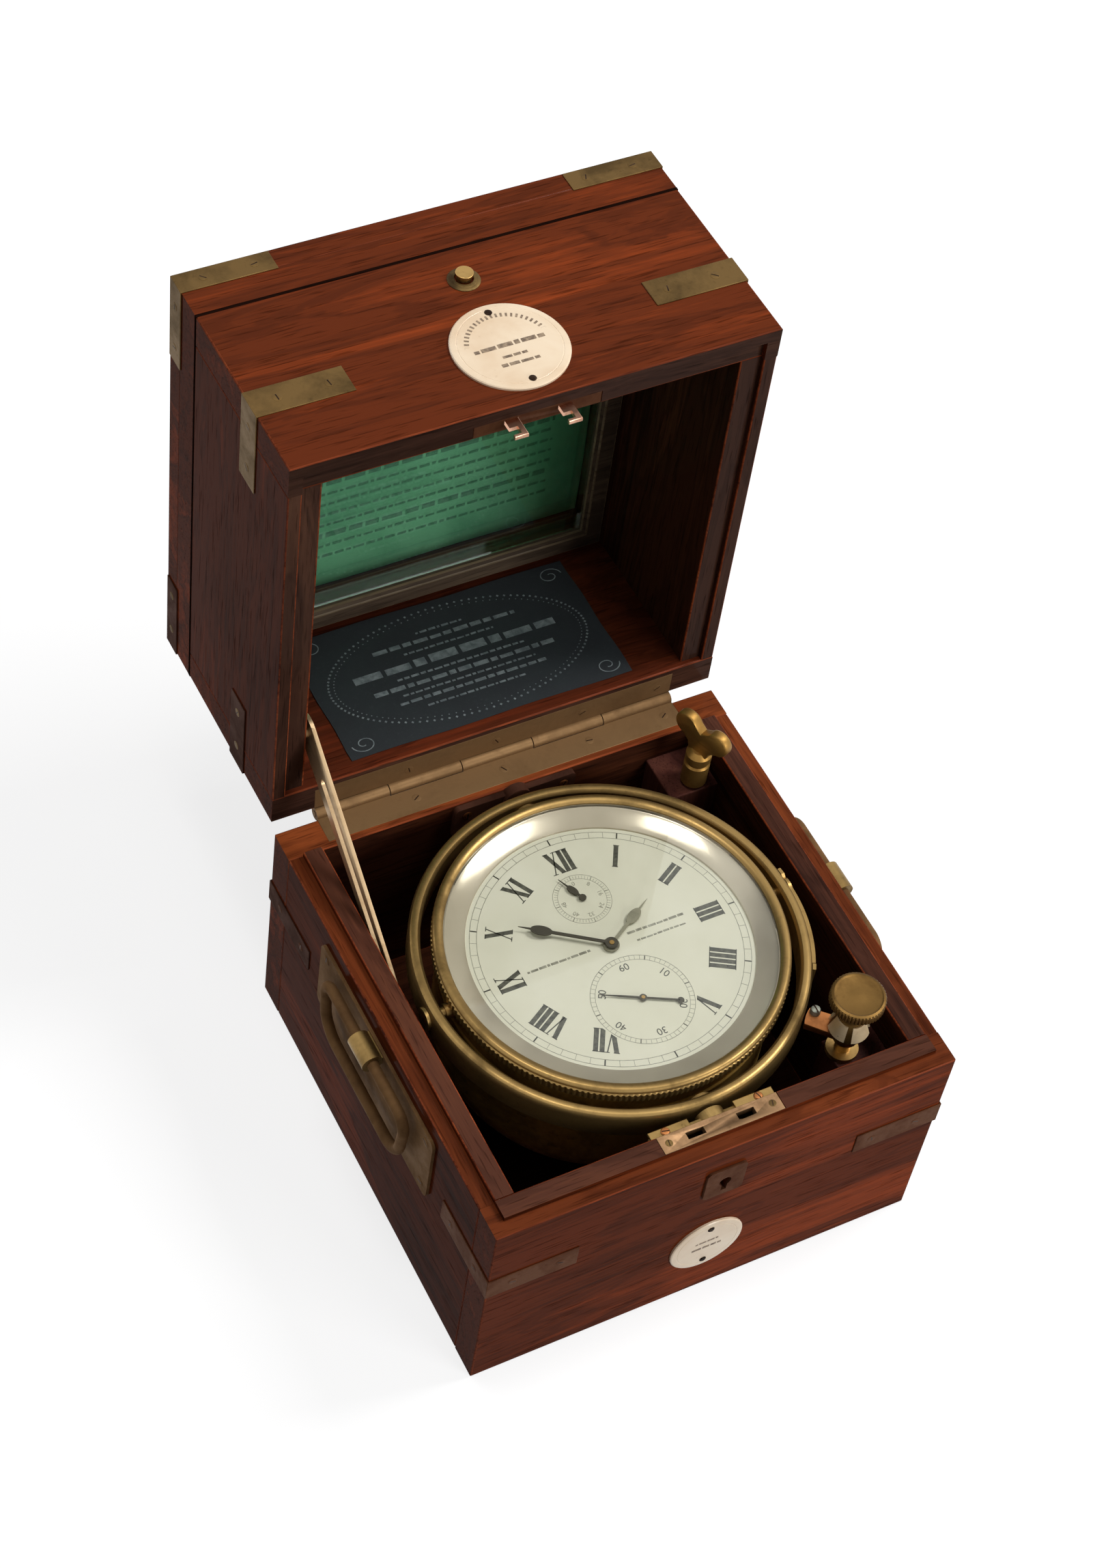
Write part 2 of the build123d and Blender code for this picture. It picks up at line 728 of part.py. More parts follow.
def handle_bail(sign):
    """A closed loop of rod: straight top through the knuckle, rounded grip below."""
    top = handle_pivot_height
    low = top - handle_drop
    with BuildPart() as bail:
        bail_plane = Plane(origin=(sign * handle_axis_x, 0, 0), x_dir=(0, 1, 0), z_dir=(1, 0, 0))
        with BuildLine(bail_plane) as loop:
            FilletPolyline(
                (handle_half_span, top),
                (handle_half_span - 3, low),
                (-handle_half_span + 3, low),
                (-handle_half_span, top),
                radius=(handle_top_bend, handle_low_bend, handle_low_bend, handle_top_bend),
                close=True,
            )
        with BuildSketch(Plane(origin=loop.line @ 0, z_dir=loop.line % 0)):
            Circle(handle_rod_radius)
        sweep()
    return bail.part


save(Compound(children=[handle_plate(-1), handle_plate(1)]), "handle_plates")
save(handle_bail(-1), "handle_bail_left")
save(handle_bail(1), "handle_bail_right")


# Gimbals: two brackets on the front and back walls carry the ring, and the ring carries the bowl
def gimbal_bracket(sign):
    """An upright plate on one wall, with a bored boss for the ring's pivot."""
    wall_face = sign * inside_y
    with BuildPart() as bracket:
        with Locations((0, wall_face - sign * bracket_thickness / 2, (bracket_low + bracket_high) / 2)):
            Box(2 * bracket_half_width, bracket_thickness, bracket_high - bracket_low)
        fillet(bracket.edges().filter_by(Axis.Y), 2)
        boss_reach = bracket_thickness + bracket_boss_length
        with Locations(Plane(origin=(0, wall_face - sign * boss_reach / 2, gimbal_height), z_dir=(0, 1, 0))):
            Cylinder(bracket_boss_radius, boss_reach)
            Cylinder(pivot_radius + running_fit, 4 * boss_reach, mode=Mode.SUBTRACT)
    return bracket.part


save(Compound(children=[gimbal_bracket(-1), gimbal_bracket(1)]), "gimbal_brackets")

with BuildPart() as gimbal_ring:
    with BuildSketch(Plane.XY.offset(gimbal_height - ring_height / 2)):
        Circle(ring_outer)
        Circle(ring_inner, mode=Mode.SUBTRACT)
    extrude(amount=ring_height)
    chamfer(gimbal_ring.edges().filter_by(GeomType.CIRCLE), 0.7)
    with Locations((0, 0, gimbal_height)):
        Cylinder(pivot_radius + running_fit, 2.2 * ring_outer, rotation=(90, 0, 0), mode=Mode.SUBTRACT)
        Cylinder(pivot_radius + running_fit, 2.2 * ring_outer, rotation=(0, 90, 0), mode=Mode.SUBTRACT)
save(gimbal_ring.part, "gimbal_ring")


def pivot_screw(direction, start, end, head_start, head_end):
    """A plain pivot along the given direction with a flat round head."""
    shank_plane = Plane(origin=Vector(0, 0, gimbal_height) + direction * start, z_dir=direction)
    head_plane = Plane(origin=Vector(0, 0, gimbal_height) + direction * head_start, z_dir=direction)
    with BuildPart() as screw:
        with BuildSketch(shank_plane):
            Circle(pivot_radius)
        extrude(amount=end - start)
        with BuildSketch(head_plane):
            Circle(pivot_head_radius)
        extrude(amount=head_end - head_start)
    return screw.part


flat_clearance = 0.3
outer_seat = (ring_outer ** 2 - pivot_head_radius ** 2) ** 0.5 + flat_clearance
inner_seat = (ring_inner ** 2 - pivot_head_radius ** 2) ** 0.5 - 0.1
pivots = []
for direction in (Vector(0, -1, 0), Vector(0, 1, 0)):
    bracket_end = inside_y - 0.4
    pivots.append(pivot_screw(direction, inner_seat - 1.0, bracket_end, inner_seat - 1.0, inner_seat))
for direction in (Vector(-1, 0, 0), Vector(1, 0, 0)):
    head_low = ring_outer + 0.05
    head_top = head_low + pivot_head_height
    pivots.append(pivot_screw(direction, pivot_tip, head_top, head_low, head_top))
save(Compound(children=pivots), "gimbal_pivots")

bowl_inner = bowl_outer - bowl_wall
ledge_high = dial_top - dial_thickness - front_plate_thickness
ledge_low = ledge_high - 3.0
ledge_reach = 2.6
with BuildPart() as bowl:
    with BuildSketch(Plane.XZ):
        with BuildLine():
            Polyline(
                (0, bowl_bottom),
                (bowl_outer - bowl_rounding, bowl_bottom),
            )
            RadiusArc(
                (bowl_outer - bowl_rounding, bowl_bottom),
                (bowl_outer, bowl_bottom + bowl_rounding),
                -bowl_rounding,
            )
            Polyline(
                (bowl_outer, bowl_bottom + bowl_rounding),
                (bowl_outer, bowl_top),
                (bowl_inner, bowl_top),
                (bowl_inner, ledge_high),
                (bowl_inner - ledge_reach, ledge_high),
                (bowl_inner - ledge_reach, ledge_low),
                (bowl_inner, ledge_low - ledge_reach),
                (bowl_inner, bowl_bottom + bowl_rounding),
            )
            RadiusArc(
                (bowl_inner, bowl_bottom + bowl_rounding),
                (bowl_outer - bowl_rounding, bowl_bottom + bowl_wall),
                bowl_rounding - bowl_wall,
            )
            Polyline(
                (bowl_outer - bowl_rounding, bowl_bottom + bowl_wall),
                (0, bowl_bottom + bowl_wall),
                (0, bowl_bottom),
            )
        make_face()
    revolve(axis=Axis.Z)
    for sign in (-1, 1):
        bush_start = bowl_outer - 1.0
        with BuildSketch(Plane(origin=(sign * bush_start, 0, gimbal_height), z_dir=(sign, 0, 0))):
            Circle(bush_radius)
        extrude(amount=bush_reach - bush_start)
    with Locations((0, 0, gimbal_height)):
        for sign in (-1, 1):
            bore_start = bowl_outer - 0.3
            with Locations(Plane(origin=(sign * (bore_start + 5), 0, 0), z_dir=(1, 0, 0))):
                Cylinder(pivot_radius + running_fit, 10, mode=Mode.SUBTRACT)
save(bowl.part, "bowl")

glass_high = glass_low + glass_thickness
with BuildPart() as bezel:
    with BuildSketch(Plane.XZ):
        with BuildLine():
            Polyline(
                (bezel_inner, bowl_top),
                (bezel_outer, bowl_top),
                (bezel_outer, bezel_top - bezel_chamfer),
                (bezel_outer - bezel_chamfer, bezel_top),
                (bezel_inner - bezel_lip, bezel_top),
                (bezel_inner - bezel_lip, glass_high),
                (bezel_inner, glass_high),
                close=True,
            )
        make_face()
    revolve(axis=Axis.Z)
save(bezel.part, "bezel")

with BuildPart() as bezel_glass:
    with BuildSketch(Plane.XY.offset(glass_low)):
        Circle(bezel_inner - glass_gap)
    extrude(amount=glass_thickness)
save(bezel_glass.part, "bezel_glass")

reflector_outer = bezel_inner - glass_gap
with BuildPart() as reflector_ring:
    with BuildSketch(Plane.XZ):
        with BuildLine():
            Polyline(
                (dial_visible_radius, dial_top),
                (reflector_outer, dial_top),
                (reflector_outer, glass_low),
                (reflector_outer - reflector_edge, glass_low),
                (dial_visible_radius, dial_top + reflector_edge),
                close=True,
            )
        make_face()
    revolve(axis=Axis.Z)
save(reflector_ring.part, "reflector_ring")

with BuildPart() as dial:
    with BuildSketch(Plane.XY.offset(dial_top - dial_thickness)):
        Circle(min(dial_radius, bowl_inner - seat_gap))
        Circle(hour_pipe_radius + seat_gap, mode=Mode.SUBTRACT)
        with Locations((0, seconds_offset)):
            Circle(subdial_arbor_radius + seat_gap, mode=Mode.SUBTRACT)
        with Locations((0, reserve_offset)):
            Circle(subdial_arbor_radius + running_fit, mode=Mode.SUBTRACT)
    extrude(amount=dial_thickness)
save(dial.part, "dial")


# Hands. Each lies flat above the dial and is drawn pointing at twelve, then turned clockwise.
def pear_hand(length, bulge_distance, bulge_width, shaft_width, boss, bore, angle, low, centre_y, tail=0.0,
              collar_low=None, collar_radius=0.0):
    """A hand with a pear-shaped bulge before its tip, or none where its width is zero.

    Where the bore is zero it is made with its own arbor, and where it is not the collar is a pipe."""
    with BuildPart() as hand:
        with BuildSketch(Plane.XY.offset(low)):
            with BuildLine():
                Polyline(
                    (-shaft_width / 2, -tail),
                    (-shaft_width / 2, bulge_distance),
                    (0, length),
                    (shaft_width / 2, bulge_distance),
                    (shaft_width / 2, -tail),
                    close=True,
                )
            make_face()
            if bulge_width > 0:
                with Locations((0, bulge_distance)):
                    Ellipse(bulge_width / 2, bulge_width)
            Circle(boss)
            if bore > 0:
                Circle(bore, mode=Mode.SUBTRACT)
        extrude(amount=hand_thickness)
        if collar_low is not None:
            with BuildSketch(Plane.XY.offset(collar_low)):
                Circle(collar_radius)
                if bore > 0:
                    Circle(bore, mode=Mode.SUBTRACT)
            extrude(amount=low - collar_low)
    turned = hand.part.rotate(Axis.Z, -angle)
    return turned.translate((0, centre_y, 0))


hand_fit = 0.03
hour_pipe_low = dial_top - dial_thickness + running_fit
save(
    pear_hand(hour_hand_length, hour_pear_place, 4.0, 1.2, hand_boss_radius + 0.6, arbor_radius + running_fit,
              hour_angle, hour_hand_low, 0, collar_low=hour_pipe_low, collar_radius=hour_pipe_radius),
    "hour_hand",
)
save(
    pear_hand(minute_hand_length, minute_pear_place, 4.0, 1.2, hand_boss_radius, arbor_radius + hand_fit,
              minute_angle, minute_hand_low, 0),
    "minute_hand",
)
save(
    pear_hand(seconds_hand_length, 8, 0, 0.6, small_boss_radius, subdial_arbor_radius + hand_fit,
              seconds_angle, small_hand_low, seconds_offset, tail=12.5),
    "seconds_hand",
)
save(
    pear_hand(reserve_hand_length, 4.6, 2.6, 0.8, small_boss_radius, 0, reserve_angle, small_hand_low,
              reserve_offset, collar_low=dial_top - dial_thickness - 2.5, collar_radius=subdial_arbor_radius),
    "reserve_hand",
)

# Movement frame: two plates and the pillars between them
front_plate_low = ledge_high
front_plate_high = front_plate_low + front_plate_thickness
back_plate_high = back_plate_low + back_plate_thickness


def plate_holes():
    """The pivot holes that both plates share, as sketch circles to take out."""
    Circle(arbor_radius + seat_gap, mode=Mode.SUBTRACT)
    with Locations((0, seconds_offset)):
        Circle(subdial_arbor_radius + seat_gap, mode=Mode.SUBTRACT)
    with Locations((-drum_x, drum_y), (drum_x, drum_y)):
        Circle(drum_arbor_radius + running_fit, mode=Mode.SUBTRACT)


with BuildPart() as movement_pillar_plate:
    with BuildSketch(Plane.XY.offset(front_plate_low)):
        Circle(min(front_plate_radius, bowl_inner - seat_gap))
        plate_holes()
        with Locations((0, reserve_offset)):
            Circle(subdial_arbor_radius + running_fit, mode=Mode.SUBTRACT)
    extrude(amount=front_plate_thickness)
    pillar_places = [
        (pillar_circle * cos(radians(angle)), pillar_circle * sin(radians(angle))) for angle in pillar_angles
    ]
    with BuildSketch(Plane.XY.offset(back_plate_high)):
        with Locations(*pillar_places):
            Circle(pillar_radius)
    extrude(amount=front_plate_low - back_plate_high)
save(movement_pillar_plate.part, "movement_pillar_plate")

with BuildPart() as movement_back_plate:
    with BuildSketch(Plane.XY.offset(back_plate_low)):
        Circle(back_plate_radius)
        plate_holes()
        with Locations((balance_x, -balance_y)):
            Circle(arbor_radius + seat_gap, mode=Mode.SUBTRACT)
    extrude(amount=back_plate_thickness)
save(movement_back_plate.part, "movement_back_plate")


def train_wheel(radius, teeth, low, arbor, arbor_low, arbor_high, centre_y):
    """A toothed, pierced wheel on its arbor."""
    with BuildPart() as wheel:
        with BuildSketch(Plane.XY.offset(low)):
            Circle(radius)
            with PolarLocations(radius, teeth):
                Rectangle(2 * tooth_height, radius * 3.1 / teeth, mode=Mode.SUBTRACT)
            with PolarLocations(radius * 0.55, spoke_hole_count):
                Circle(radius * 0.24, mode=Mode.SUBTRACT)
        extrude(amount=wheel_thickness)
        with BuildSketch(Plane.XY.offset(arbor_low)):
            Circle(arbor)
        extrude(amount=arbor_high - arbor_low)
    return wheel.part.translate((0, centre_y, 0))


save(
    train_wheel(centre_wheel_radius, centre_wheel_teeth, centre_wheel_low, arbor_radius, back_plate_low,
                minute_hand_low + hand_thickness + 0.2, 0),
    "centre_wheel",
)
save(
    train_wheel(fourth_wheel_radius, fourth_wheel_teeth, fourth_wheel_low, subdial_arbor_radius, back_plate_low,
                small_hand_low + hand_thickness + 0.2, seconds_offset),
    "fourth_wheel",
)

# Mainspring barrel and fusee between the plates
drum_arbor_low = back_plate_low
drum_arbor_high = front_plate_high - 0.5
with BuildPart() as spring_barrel:
    with Locations((-drum_x, drum_y, drum_low + barrel_height / 2)):
        Cylinder(barrel_radius, barrel_height)
        Cylinder(barrel_radius - barrel_wall, barrel_height - 2 * barrel_wall, mode=Mode.SUBTRACT)
    with Locations((-drum_x, drum_y, (drum_arbor_low + drum_arbor_high) / 2)):
        Cylinder(drum_arbor_radius, drum_arbor_high - drum_arbor_low)
save(spring_barrel.part, "spring_barrel")

with BuildPart() as fusee:
    step_height = barrel_height / fusee_steps
    for step in range(fusee_steps):
        step_radius = fusee_radius - (fusee_radius - fusee_top_radius) * step / (fusee_steps - 1)
        with Locations((drum_x, drum_y, drum_low + step_height * (step + 0.5))):
            Cylinder(step_radius, step_height)
    with Locations((drum_x, drum_y, (drum_arbor_low + drum_arbor_high) / 2)):
        Cylinder(drum_arbor_radius, drum_arbor_high - drum_arbor_low)
save(fusee.part, "fusee")

# Balance below the back plate, its staff running in that plate, with its helical spring as a sleeve
with BuildPart() as balance:
    with BuildSketch(Plane.XY.offset(balance_low)):
        Circle(balance_radius)
        Circle(balance_radius - balance_rim, mode=Mode.SUBTRACT)
        Rectangle(2 * balance_radius - balance_rim, 3)
    extrude(amount=balance_thickness)
    with BuildSketch(Plane.XY.offset(balance_low - 3)):
        Circle(arbor_radius)
    extrude(amount=back_plate_high - balance_low + 3)
    with BuildSketch(Plane.XY.offset(balance_low)):
        Circle(balance_spring_radius)
        Circle(balance_spring_radius - balance_spring_wall, mode=Mode.SUBTRACT)
    extrude(amount=balance_thickness + balance_spring_height)
save(balance.part.translate((balance_x, -balance_y, 0)), "balance")


# Wooden blocks in the two right-hand corners of the base
def corner_block(sign, high):
    """A block filling one right-hand corner, cut back clear of the bowl."""
    with BuildPart() as corner:
        with BuildSketch(Plane.XY.offset(bottom_thickness)):
            side_x = inside_x - block_inner
            side_y = inside_y - block_inner
            with Locations((block_inner + side_x / 2, sign * (block_inner + side_y / 2))):
                Rectangle(side_x, side_y)
            Circle(block_clear_radius, mode=Mode.SUBTRACT)
        extrude(amount=high - bottom_thickness)
    return corner


save(corner_block(-1, block_top).part, "lock_corner_block")

with BuildPart() as key_corner_block:
    add(corner_block(1, key_block_top).part)
    with Locations((key_x, key_y, (key_low + key_block_top) / 2)):
        Cylinder(key_shaft_radius + block_bore_clearance, key_block_top - key_low, mode=Mode.SUBTRACT)
save(key_corner_block.part, "key_corner_block")

# Transit lock: a post on its block, an arm that swings in under the ring, and a clamp knob
arm_high = arm_low + arm_thickness
with BuildPart() as transit_lock_post:
    with BuildSketch(Plane.XY.offset(block_top)):
        Circle(post_flange_radius)
    extrude(amount=post_flange_height)
    with BuildSketch(Plane.XY.offset(block_top)):
        Circle(post_radius)
    extrude(amount=arm_high - block_top)
    with BuildSketch(Plane.XY.offset(arm_low - collar_height)):
        Circle(collar_radius)
    extrude(amount=collar_height)
    with BuildSketch(Plane.XY.offset(block_top)):
        Circle(stud_radius)
    extrude(amount=stud_top - block_top)
save(transit_lock_post.part.translate((post_x, post_y, 0)), "transit_lock_post")

post_distance = hypot(post_x, post_y)
arm_direction = degrees(atan2(-post_y, -post_x))
arm_length = post_distance - ring_outer - arm_ring_gap
with BuildPart() as transit_lock_arm:
    with BuildSketch(Plane.XY.offset(arm_low)):
        Circle(arm_length)
        with Locations((-arm_length, 0)):
            Rectangle(4 * arm_length, arm_width, align=(Align.MIN, Align.CENTER), mode=Mode.INTERSECT)
        with Locations((-arm_width / 2 - arm_length, 0)):
            Rectangle(arm_length, 2 * arm_width, align=(Align.MIN, Align.CENTER), mode=Mode.SUBTRACT)
        Circle(arm_width / 2 + 1)
        Circle(post_radius + running_fit, mode=Mode.SUBTRACT)
    extrude(amount=arm_thickness)
turned_arm = transit_lock_arm.part.rotate(Axis.Z, arm_direction)
save(turned_arm.translate((post_x, post_y, 0)), "transit_lock_arm")

sleeve_low = arm_high + seat_gap
with BuildPart() as transit_lock_knob:
    with BuildSketch(Plane.XY.offset(knob_top - knob_height)):
        Circle(knob_radius)
        with PolarLocations(knob_radius, knob_grooves):
            Circle(knob_groove_radius, mode=Mode.SUBTRACT)
    extrude(amount=knob_height)
    with BuildSketch(Plane.XY.offset(sleeve_low)):
        Circle(sleeve_radius)
    extrude(amount=knob_top - knob_height - sleeve_low)
    with BuildSketch(Plane.XY.offset(sleeve_low)):
        Circle(stud_radius + running_fit)
    extrude(amount=stud_top + seat_gap - sleeve_low, mode=Mode.SUBTRACT)
save(transit_lock_knob.part.translate((post_x, post_y, 0)), "transit_lock_knob")

# Winding key: a round stem with a square socket, a thicker barrel above the block, and a head of two lobes
with BuildPart() as winding_key:
    with BuildSketch(Plane.XY.offset(key_low)):
        Circle(key_shaft_radius)
        Rectangle(key_square, key_square, mode=Mode.SUBTRACT)
    extrude(amount=key_square_depth)
    with BuildSketch(Plane.XY.offset(key_low + key_square_depth)):
        Circle(key_shaft_radius)
    extrude(amount=key_shoulder - key_low - key_square_depth)
    key_barrel_low = key_block_top + key_barrel_gap
    with BuildSketch(Plane.XY.offset(key_barrel_low)):
        Circle(key_barrel_radius)
    extrude(amount=key_shoulder - key_barrel_low)
    lobe_offset = key_wing_spacing / 2
    with BuildSketch(Plane.XZ):
        with Locations((-lobe_offset, key_top - key_wing_radius), (lobe_offset, key_top - key_wing_radius)):
            Circle(key_wing_radius)
        with Locations((0, (key_shoulder + key_top - key_wing_radius) / 2)):
            Rectangle(key_wing_spacing, key_top - key_wing_radius - key_shoulder)
    extrude(amount=key_wing_thickness / 2, both=True)
turned_key = winding_key.part.rotate(Axis.Z, key_wing_angle)
save(turned_key.translate((key_x, key_y, 0)), "winding_key")

# Lid stay, drawn in the open position
stay_angle = atan2(stay_stud_z - stay_pivot_z, stay_stud_y - stay_pivot_y)
stay_length = hypot(stay_stud_z - stay_pivot_z, stay_stud_y - stay_pivot_y)
stay_back = stay_x - stay_thickness / 2


def along_stay(distance):
    """A point on the middle line of the stay, as Y and Z."""
    return stay_pivot_y + distance * cos(stay_angle), stay_pivot_z + distance * sin(stay_angle)


with BuildPart() as stay_arm:
    with BuildSketch(Plane.YZ.offset(stay_back)):
        with Locations(along_stay(0)):
            Circle(stay_pivot_end)
        with Locations(along_stay(stay_length)):
            Circle(stay_free_end)
        make_hull()
        slot_length_along = stay_length - stay_slot_start
        slot_middle = along_stay(stay_slot_start + slot_length_along / 2)
        with Locations(Location((*slot_middle, 0), degrees(stay_angle))):
            SlotCenterToCenter(slot_length_along, stay_slot_width, mode=Mode.SUBTRACT)
    extrude(amount=stay_thickness)
    with BuildSketch(Plane.YZ.offset(-inside_x - stay_pin_reach + 1)):
        with Locations(along_stay(0)):
            Circle(stay_pin_radius)
    extrude(amount=stay_pin_reach - 1 + inside_x + stay_back)
    with BuildSketch(Plane.YZ.offset(stay_back + stay_thickness)):
        with Locations(along_stay(0)):
            Circle(stay_head_radius)
    extrude(amount=stay_head_height)
save(stay_arm.part, "stay_arm")

with BuildPart() as stay_base_stud:
    with BuildSketch(Plane.YZ.offset(-inside_x)):
        with Locations((stay_stud_y, stay_stud_z)):
            Circle(stud_body_radius)
    extrude(amount=inside_x + stay_back - 0.3)
save(stay_base_stud.part, "stay_base_stud")

print("main hinge axis", main_axis_y, main_axis_z)
print("top hinge axis", opened_point(top_axis_y, top_axis_z))
print("stay pivot", stay_pivot_y, stay_pivot_z, "length", stay_length, "angle", degrees(stay_angle))
print("button", opened_point(-half_depth, button_height))
print("arm direction", arm_direction, "length", arm_length)
print("top of the shut box", top_top)
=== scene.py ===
# %% [markdown]
# # A marine chronometer in its three-tier box
#
# This lesson dresses a CAD model of a box chronometer. The CAD gives every part its true size and place.
# Here the parts get polished mahogany, aged brass, silvered metal, glass and paper, and the small things
# that a CAD model leaves out: screws, pins, the printing of the dial, and the two paper labels of the
# lid.

# %% Load the model
import json
import math

import bmesh
import bpy
from mathutils import Matrix, Vector


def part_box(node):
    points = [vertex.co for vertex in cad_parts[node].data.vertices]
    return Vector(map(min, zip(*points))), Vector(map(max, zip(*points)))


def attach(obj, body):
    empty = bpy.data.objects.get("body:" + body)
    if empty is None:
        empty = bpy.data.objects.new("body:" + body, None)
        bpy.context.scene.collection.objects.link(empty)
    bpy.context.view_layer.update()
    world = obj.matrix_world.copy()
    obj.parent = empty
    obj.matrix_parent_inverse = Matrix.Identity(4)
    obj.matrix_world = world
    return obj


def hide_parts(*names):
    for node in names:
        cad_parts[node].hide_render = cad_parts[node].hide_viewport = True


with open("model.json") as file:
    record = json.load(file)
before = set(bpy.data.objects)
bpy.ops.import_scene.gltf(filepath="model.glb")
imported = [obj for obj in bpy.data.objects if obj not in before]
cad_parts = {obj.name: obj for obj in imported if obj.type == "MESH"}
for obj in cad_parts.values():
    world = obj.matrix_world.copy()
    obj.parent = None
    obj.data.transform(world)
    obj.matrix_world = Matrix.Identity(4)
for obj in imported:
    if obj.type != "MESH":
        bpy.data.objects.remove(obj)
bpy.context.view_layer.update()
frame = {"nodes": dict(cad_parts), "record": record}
nodes = frame["nodes"]
bodies = frame["record"]["behaviour"]["bodies"]
body_of_node = {node: body for body, members in bodies.items() for node in members}

# %% [markdown]
# The frame is in metres, with +Z up and the front of the box towards -Y. A box of this size is easier to
# think of in millimetres, so the helpers take millimetres and multiply at the last moment. The lid stands
# open, so anything on it is easier to place as if it were shut, and to swing afterwards about the hinge
# by the CAD's 91 degrees.

# %% Sizes shared by many pieces, in millimetres
MM = 0.001
CASE_HALF = 91
BASE_TOP = 98
DIAL_TOP = 97.7
PIVOT_HEIGHT = 94
PLAQUE_PROUD = 1.1
HINGE = (0, 93.8, 98.3)
LID_SWING = -91
SIDES = (-1, 1)


def placed(spot, degrees=0, axis="X"):
    """Turned about an axis, then moved to a spot in millimetres."""
    return Matrix.Translation([c * MM for c in spot]) @ Matrix.Rotation(math.radians(degrees), 4, axis)


lid_open = placed(HINGE, LID_SWING) @ placed([-c for c in HINGE])
print("the lid swings", -LID_SWING, "degrees about", HINGE)


# %% [markdown]
# ## Shader maths as Python
#
# A material is a tree of nodes. Long sums of Math nodes are hard to read, so `Field` wraps one output
# socket and gives it Python's own operators. `Finish` makes a material and has one method, `node`, for
# every other kind of node.

# %% A socket with operators
class Field:
    """One number or vector that changes over a surface."""

    def __init__(self, finish, socket):
        self.finish = finish
        self.socket = socket

    def maths(self, operation, *values, clamp=False):
        settings = {"operation": operation, "use_clamp": clamp}
        return self.finish.node("ShaderNodeMath", settings, dict(enumerate(values)))

    def __add__(self, other):
        return self.maths("ADD", self, other)

    def __sub__(self, other):
        return self.maths("SUBTRACT", self, other)

    def __rsub__(self, other):
        return self.maths("SUBTRACT", other, self)

    def __mul__(self, other):
        return self.maths("MULTIPLY", self, other)

    __radd__ = __add__
    __rmul__ = __mul__

    def clamped(self):
        return self.maths("ADD", self, 0.0, clamp=True)

    def step(self, low, high):
        """0 below low, 1 above high, and a straight slope between them."""
        return self.maths("DIVIDE", self - low, high - low, clamp=True)


# %% A material with its shader
class Finish:
    """One material, with its Principled shader and the node method that builds the rest."""

    def __init__(self, name, **values):
        self.material = bpy.data.materials.new(name)
        self.material.use_nodes = True
        self.tree = self.material.node_tree
        self.shader = self.tree.nodes["Principled BSDF"]
        for key, value in values.items():
            socket = key.replace("_", " ").title().replace("Ior", "IOR")
            self.shader.inputs[socket].default_value = value

    def node(self, kind, settings=None, inputs=None, output=0):
        made = self.tree.nodes.new(kind)
        for name, value in (settings or {}).items():
            if name == "stops":
                ramp = made.color_ramp
                while len(ramp.elements) < len(value):
                    ramp.elements.new(0.5)
                for element, (place, colour) in zip(ramp.elements, value):
                    element.position = place
                    element.color = (*colour, 1)
            else:
                setattr(made, name, value)
        for name, value in (inputs or {}).items():
            if isinstance(value, Field):
                self.tree.links.new(value.socket, made.inputs[name])
            else:
                made.inputs[name].default_value = value
        return Field(self, made.outputs[output])

    def feed(self, socket, field):
        self.tree.links.new(field.socket, self.shader.inputs[socket])

    def place(self, scale=(1, 1, 1), shift=(0, 0, 0)):
        """Object coordinates, moved and stretched."""
        here = self.node("ShaderNodeTexCoord", output=3)
        return self.node("ShaderNodeMapping", None, {0: here, "Location": shift, "Scale": scale})

    def noise(self, place, scale, detail=3.0, roughness=0.5, distortion=0.0):
        inputs = {"Vector": place, "Scale": scale, "Detail": detail, "Roughness": roughness,
                  "Distortion": distortion}
        return self.node("ShaderNodeTexNoise", None, inputs)

    def ramp(self, field, *stops):
        return self.node("ShaderNodeValToRGB", {"stops": stops}, {0: field})

    def blend(self, amount, low, high):
        """Mix two colours by a number between 0 and 1."""
        colours = {socket: colour if isinstance(colour, Field) else (*colour, 1)
                   for socket, colour in ((6, low), (7, high))}
        return self.node("ShaderNodeMix", {"data_type": "RGBA"}, {0: amount, **colours}, output=2)

    def bump(self, height, strength, distance):
        inputs = {"Height": height, "Strength": strength, "Distance": distance}
        self.feed("Normal", self.node("ShaderNodeBump", None, inputs))


def srgb(*parts):
    """A colour as an eye or a picture names it, 0 to 255, in the linear values that shaders use."""
    return tuple(((c / 255 + 0.055) / 1.055) ** 2.4 if c > 10 else c / 255 / 12.92 for c in parts)


# %% [markdown]
# ## Mahogany
#
# Polished mahogany is red-brown, with broad darker bands, finer streaks, and short pores that run with
# the grain. All three are noise stretched along the grain, so the only thing that changes from board to
# board is the direction of the grain and a shift that keeps two boards from matching. The arrises are
# worn, and have a lighter finish of their own that is partly wear and partly a painted highlight.

# %% The recipe for wood
def along(grain, long, across):
    """A stretch that is small along the grain and large across it."""
    return tuple(long if axis == grain else across for axis in "xyz")


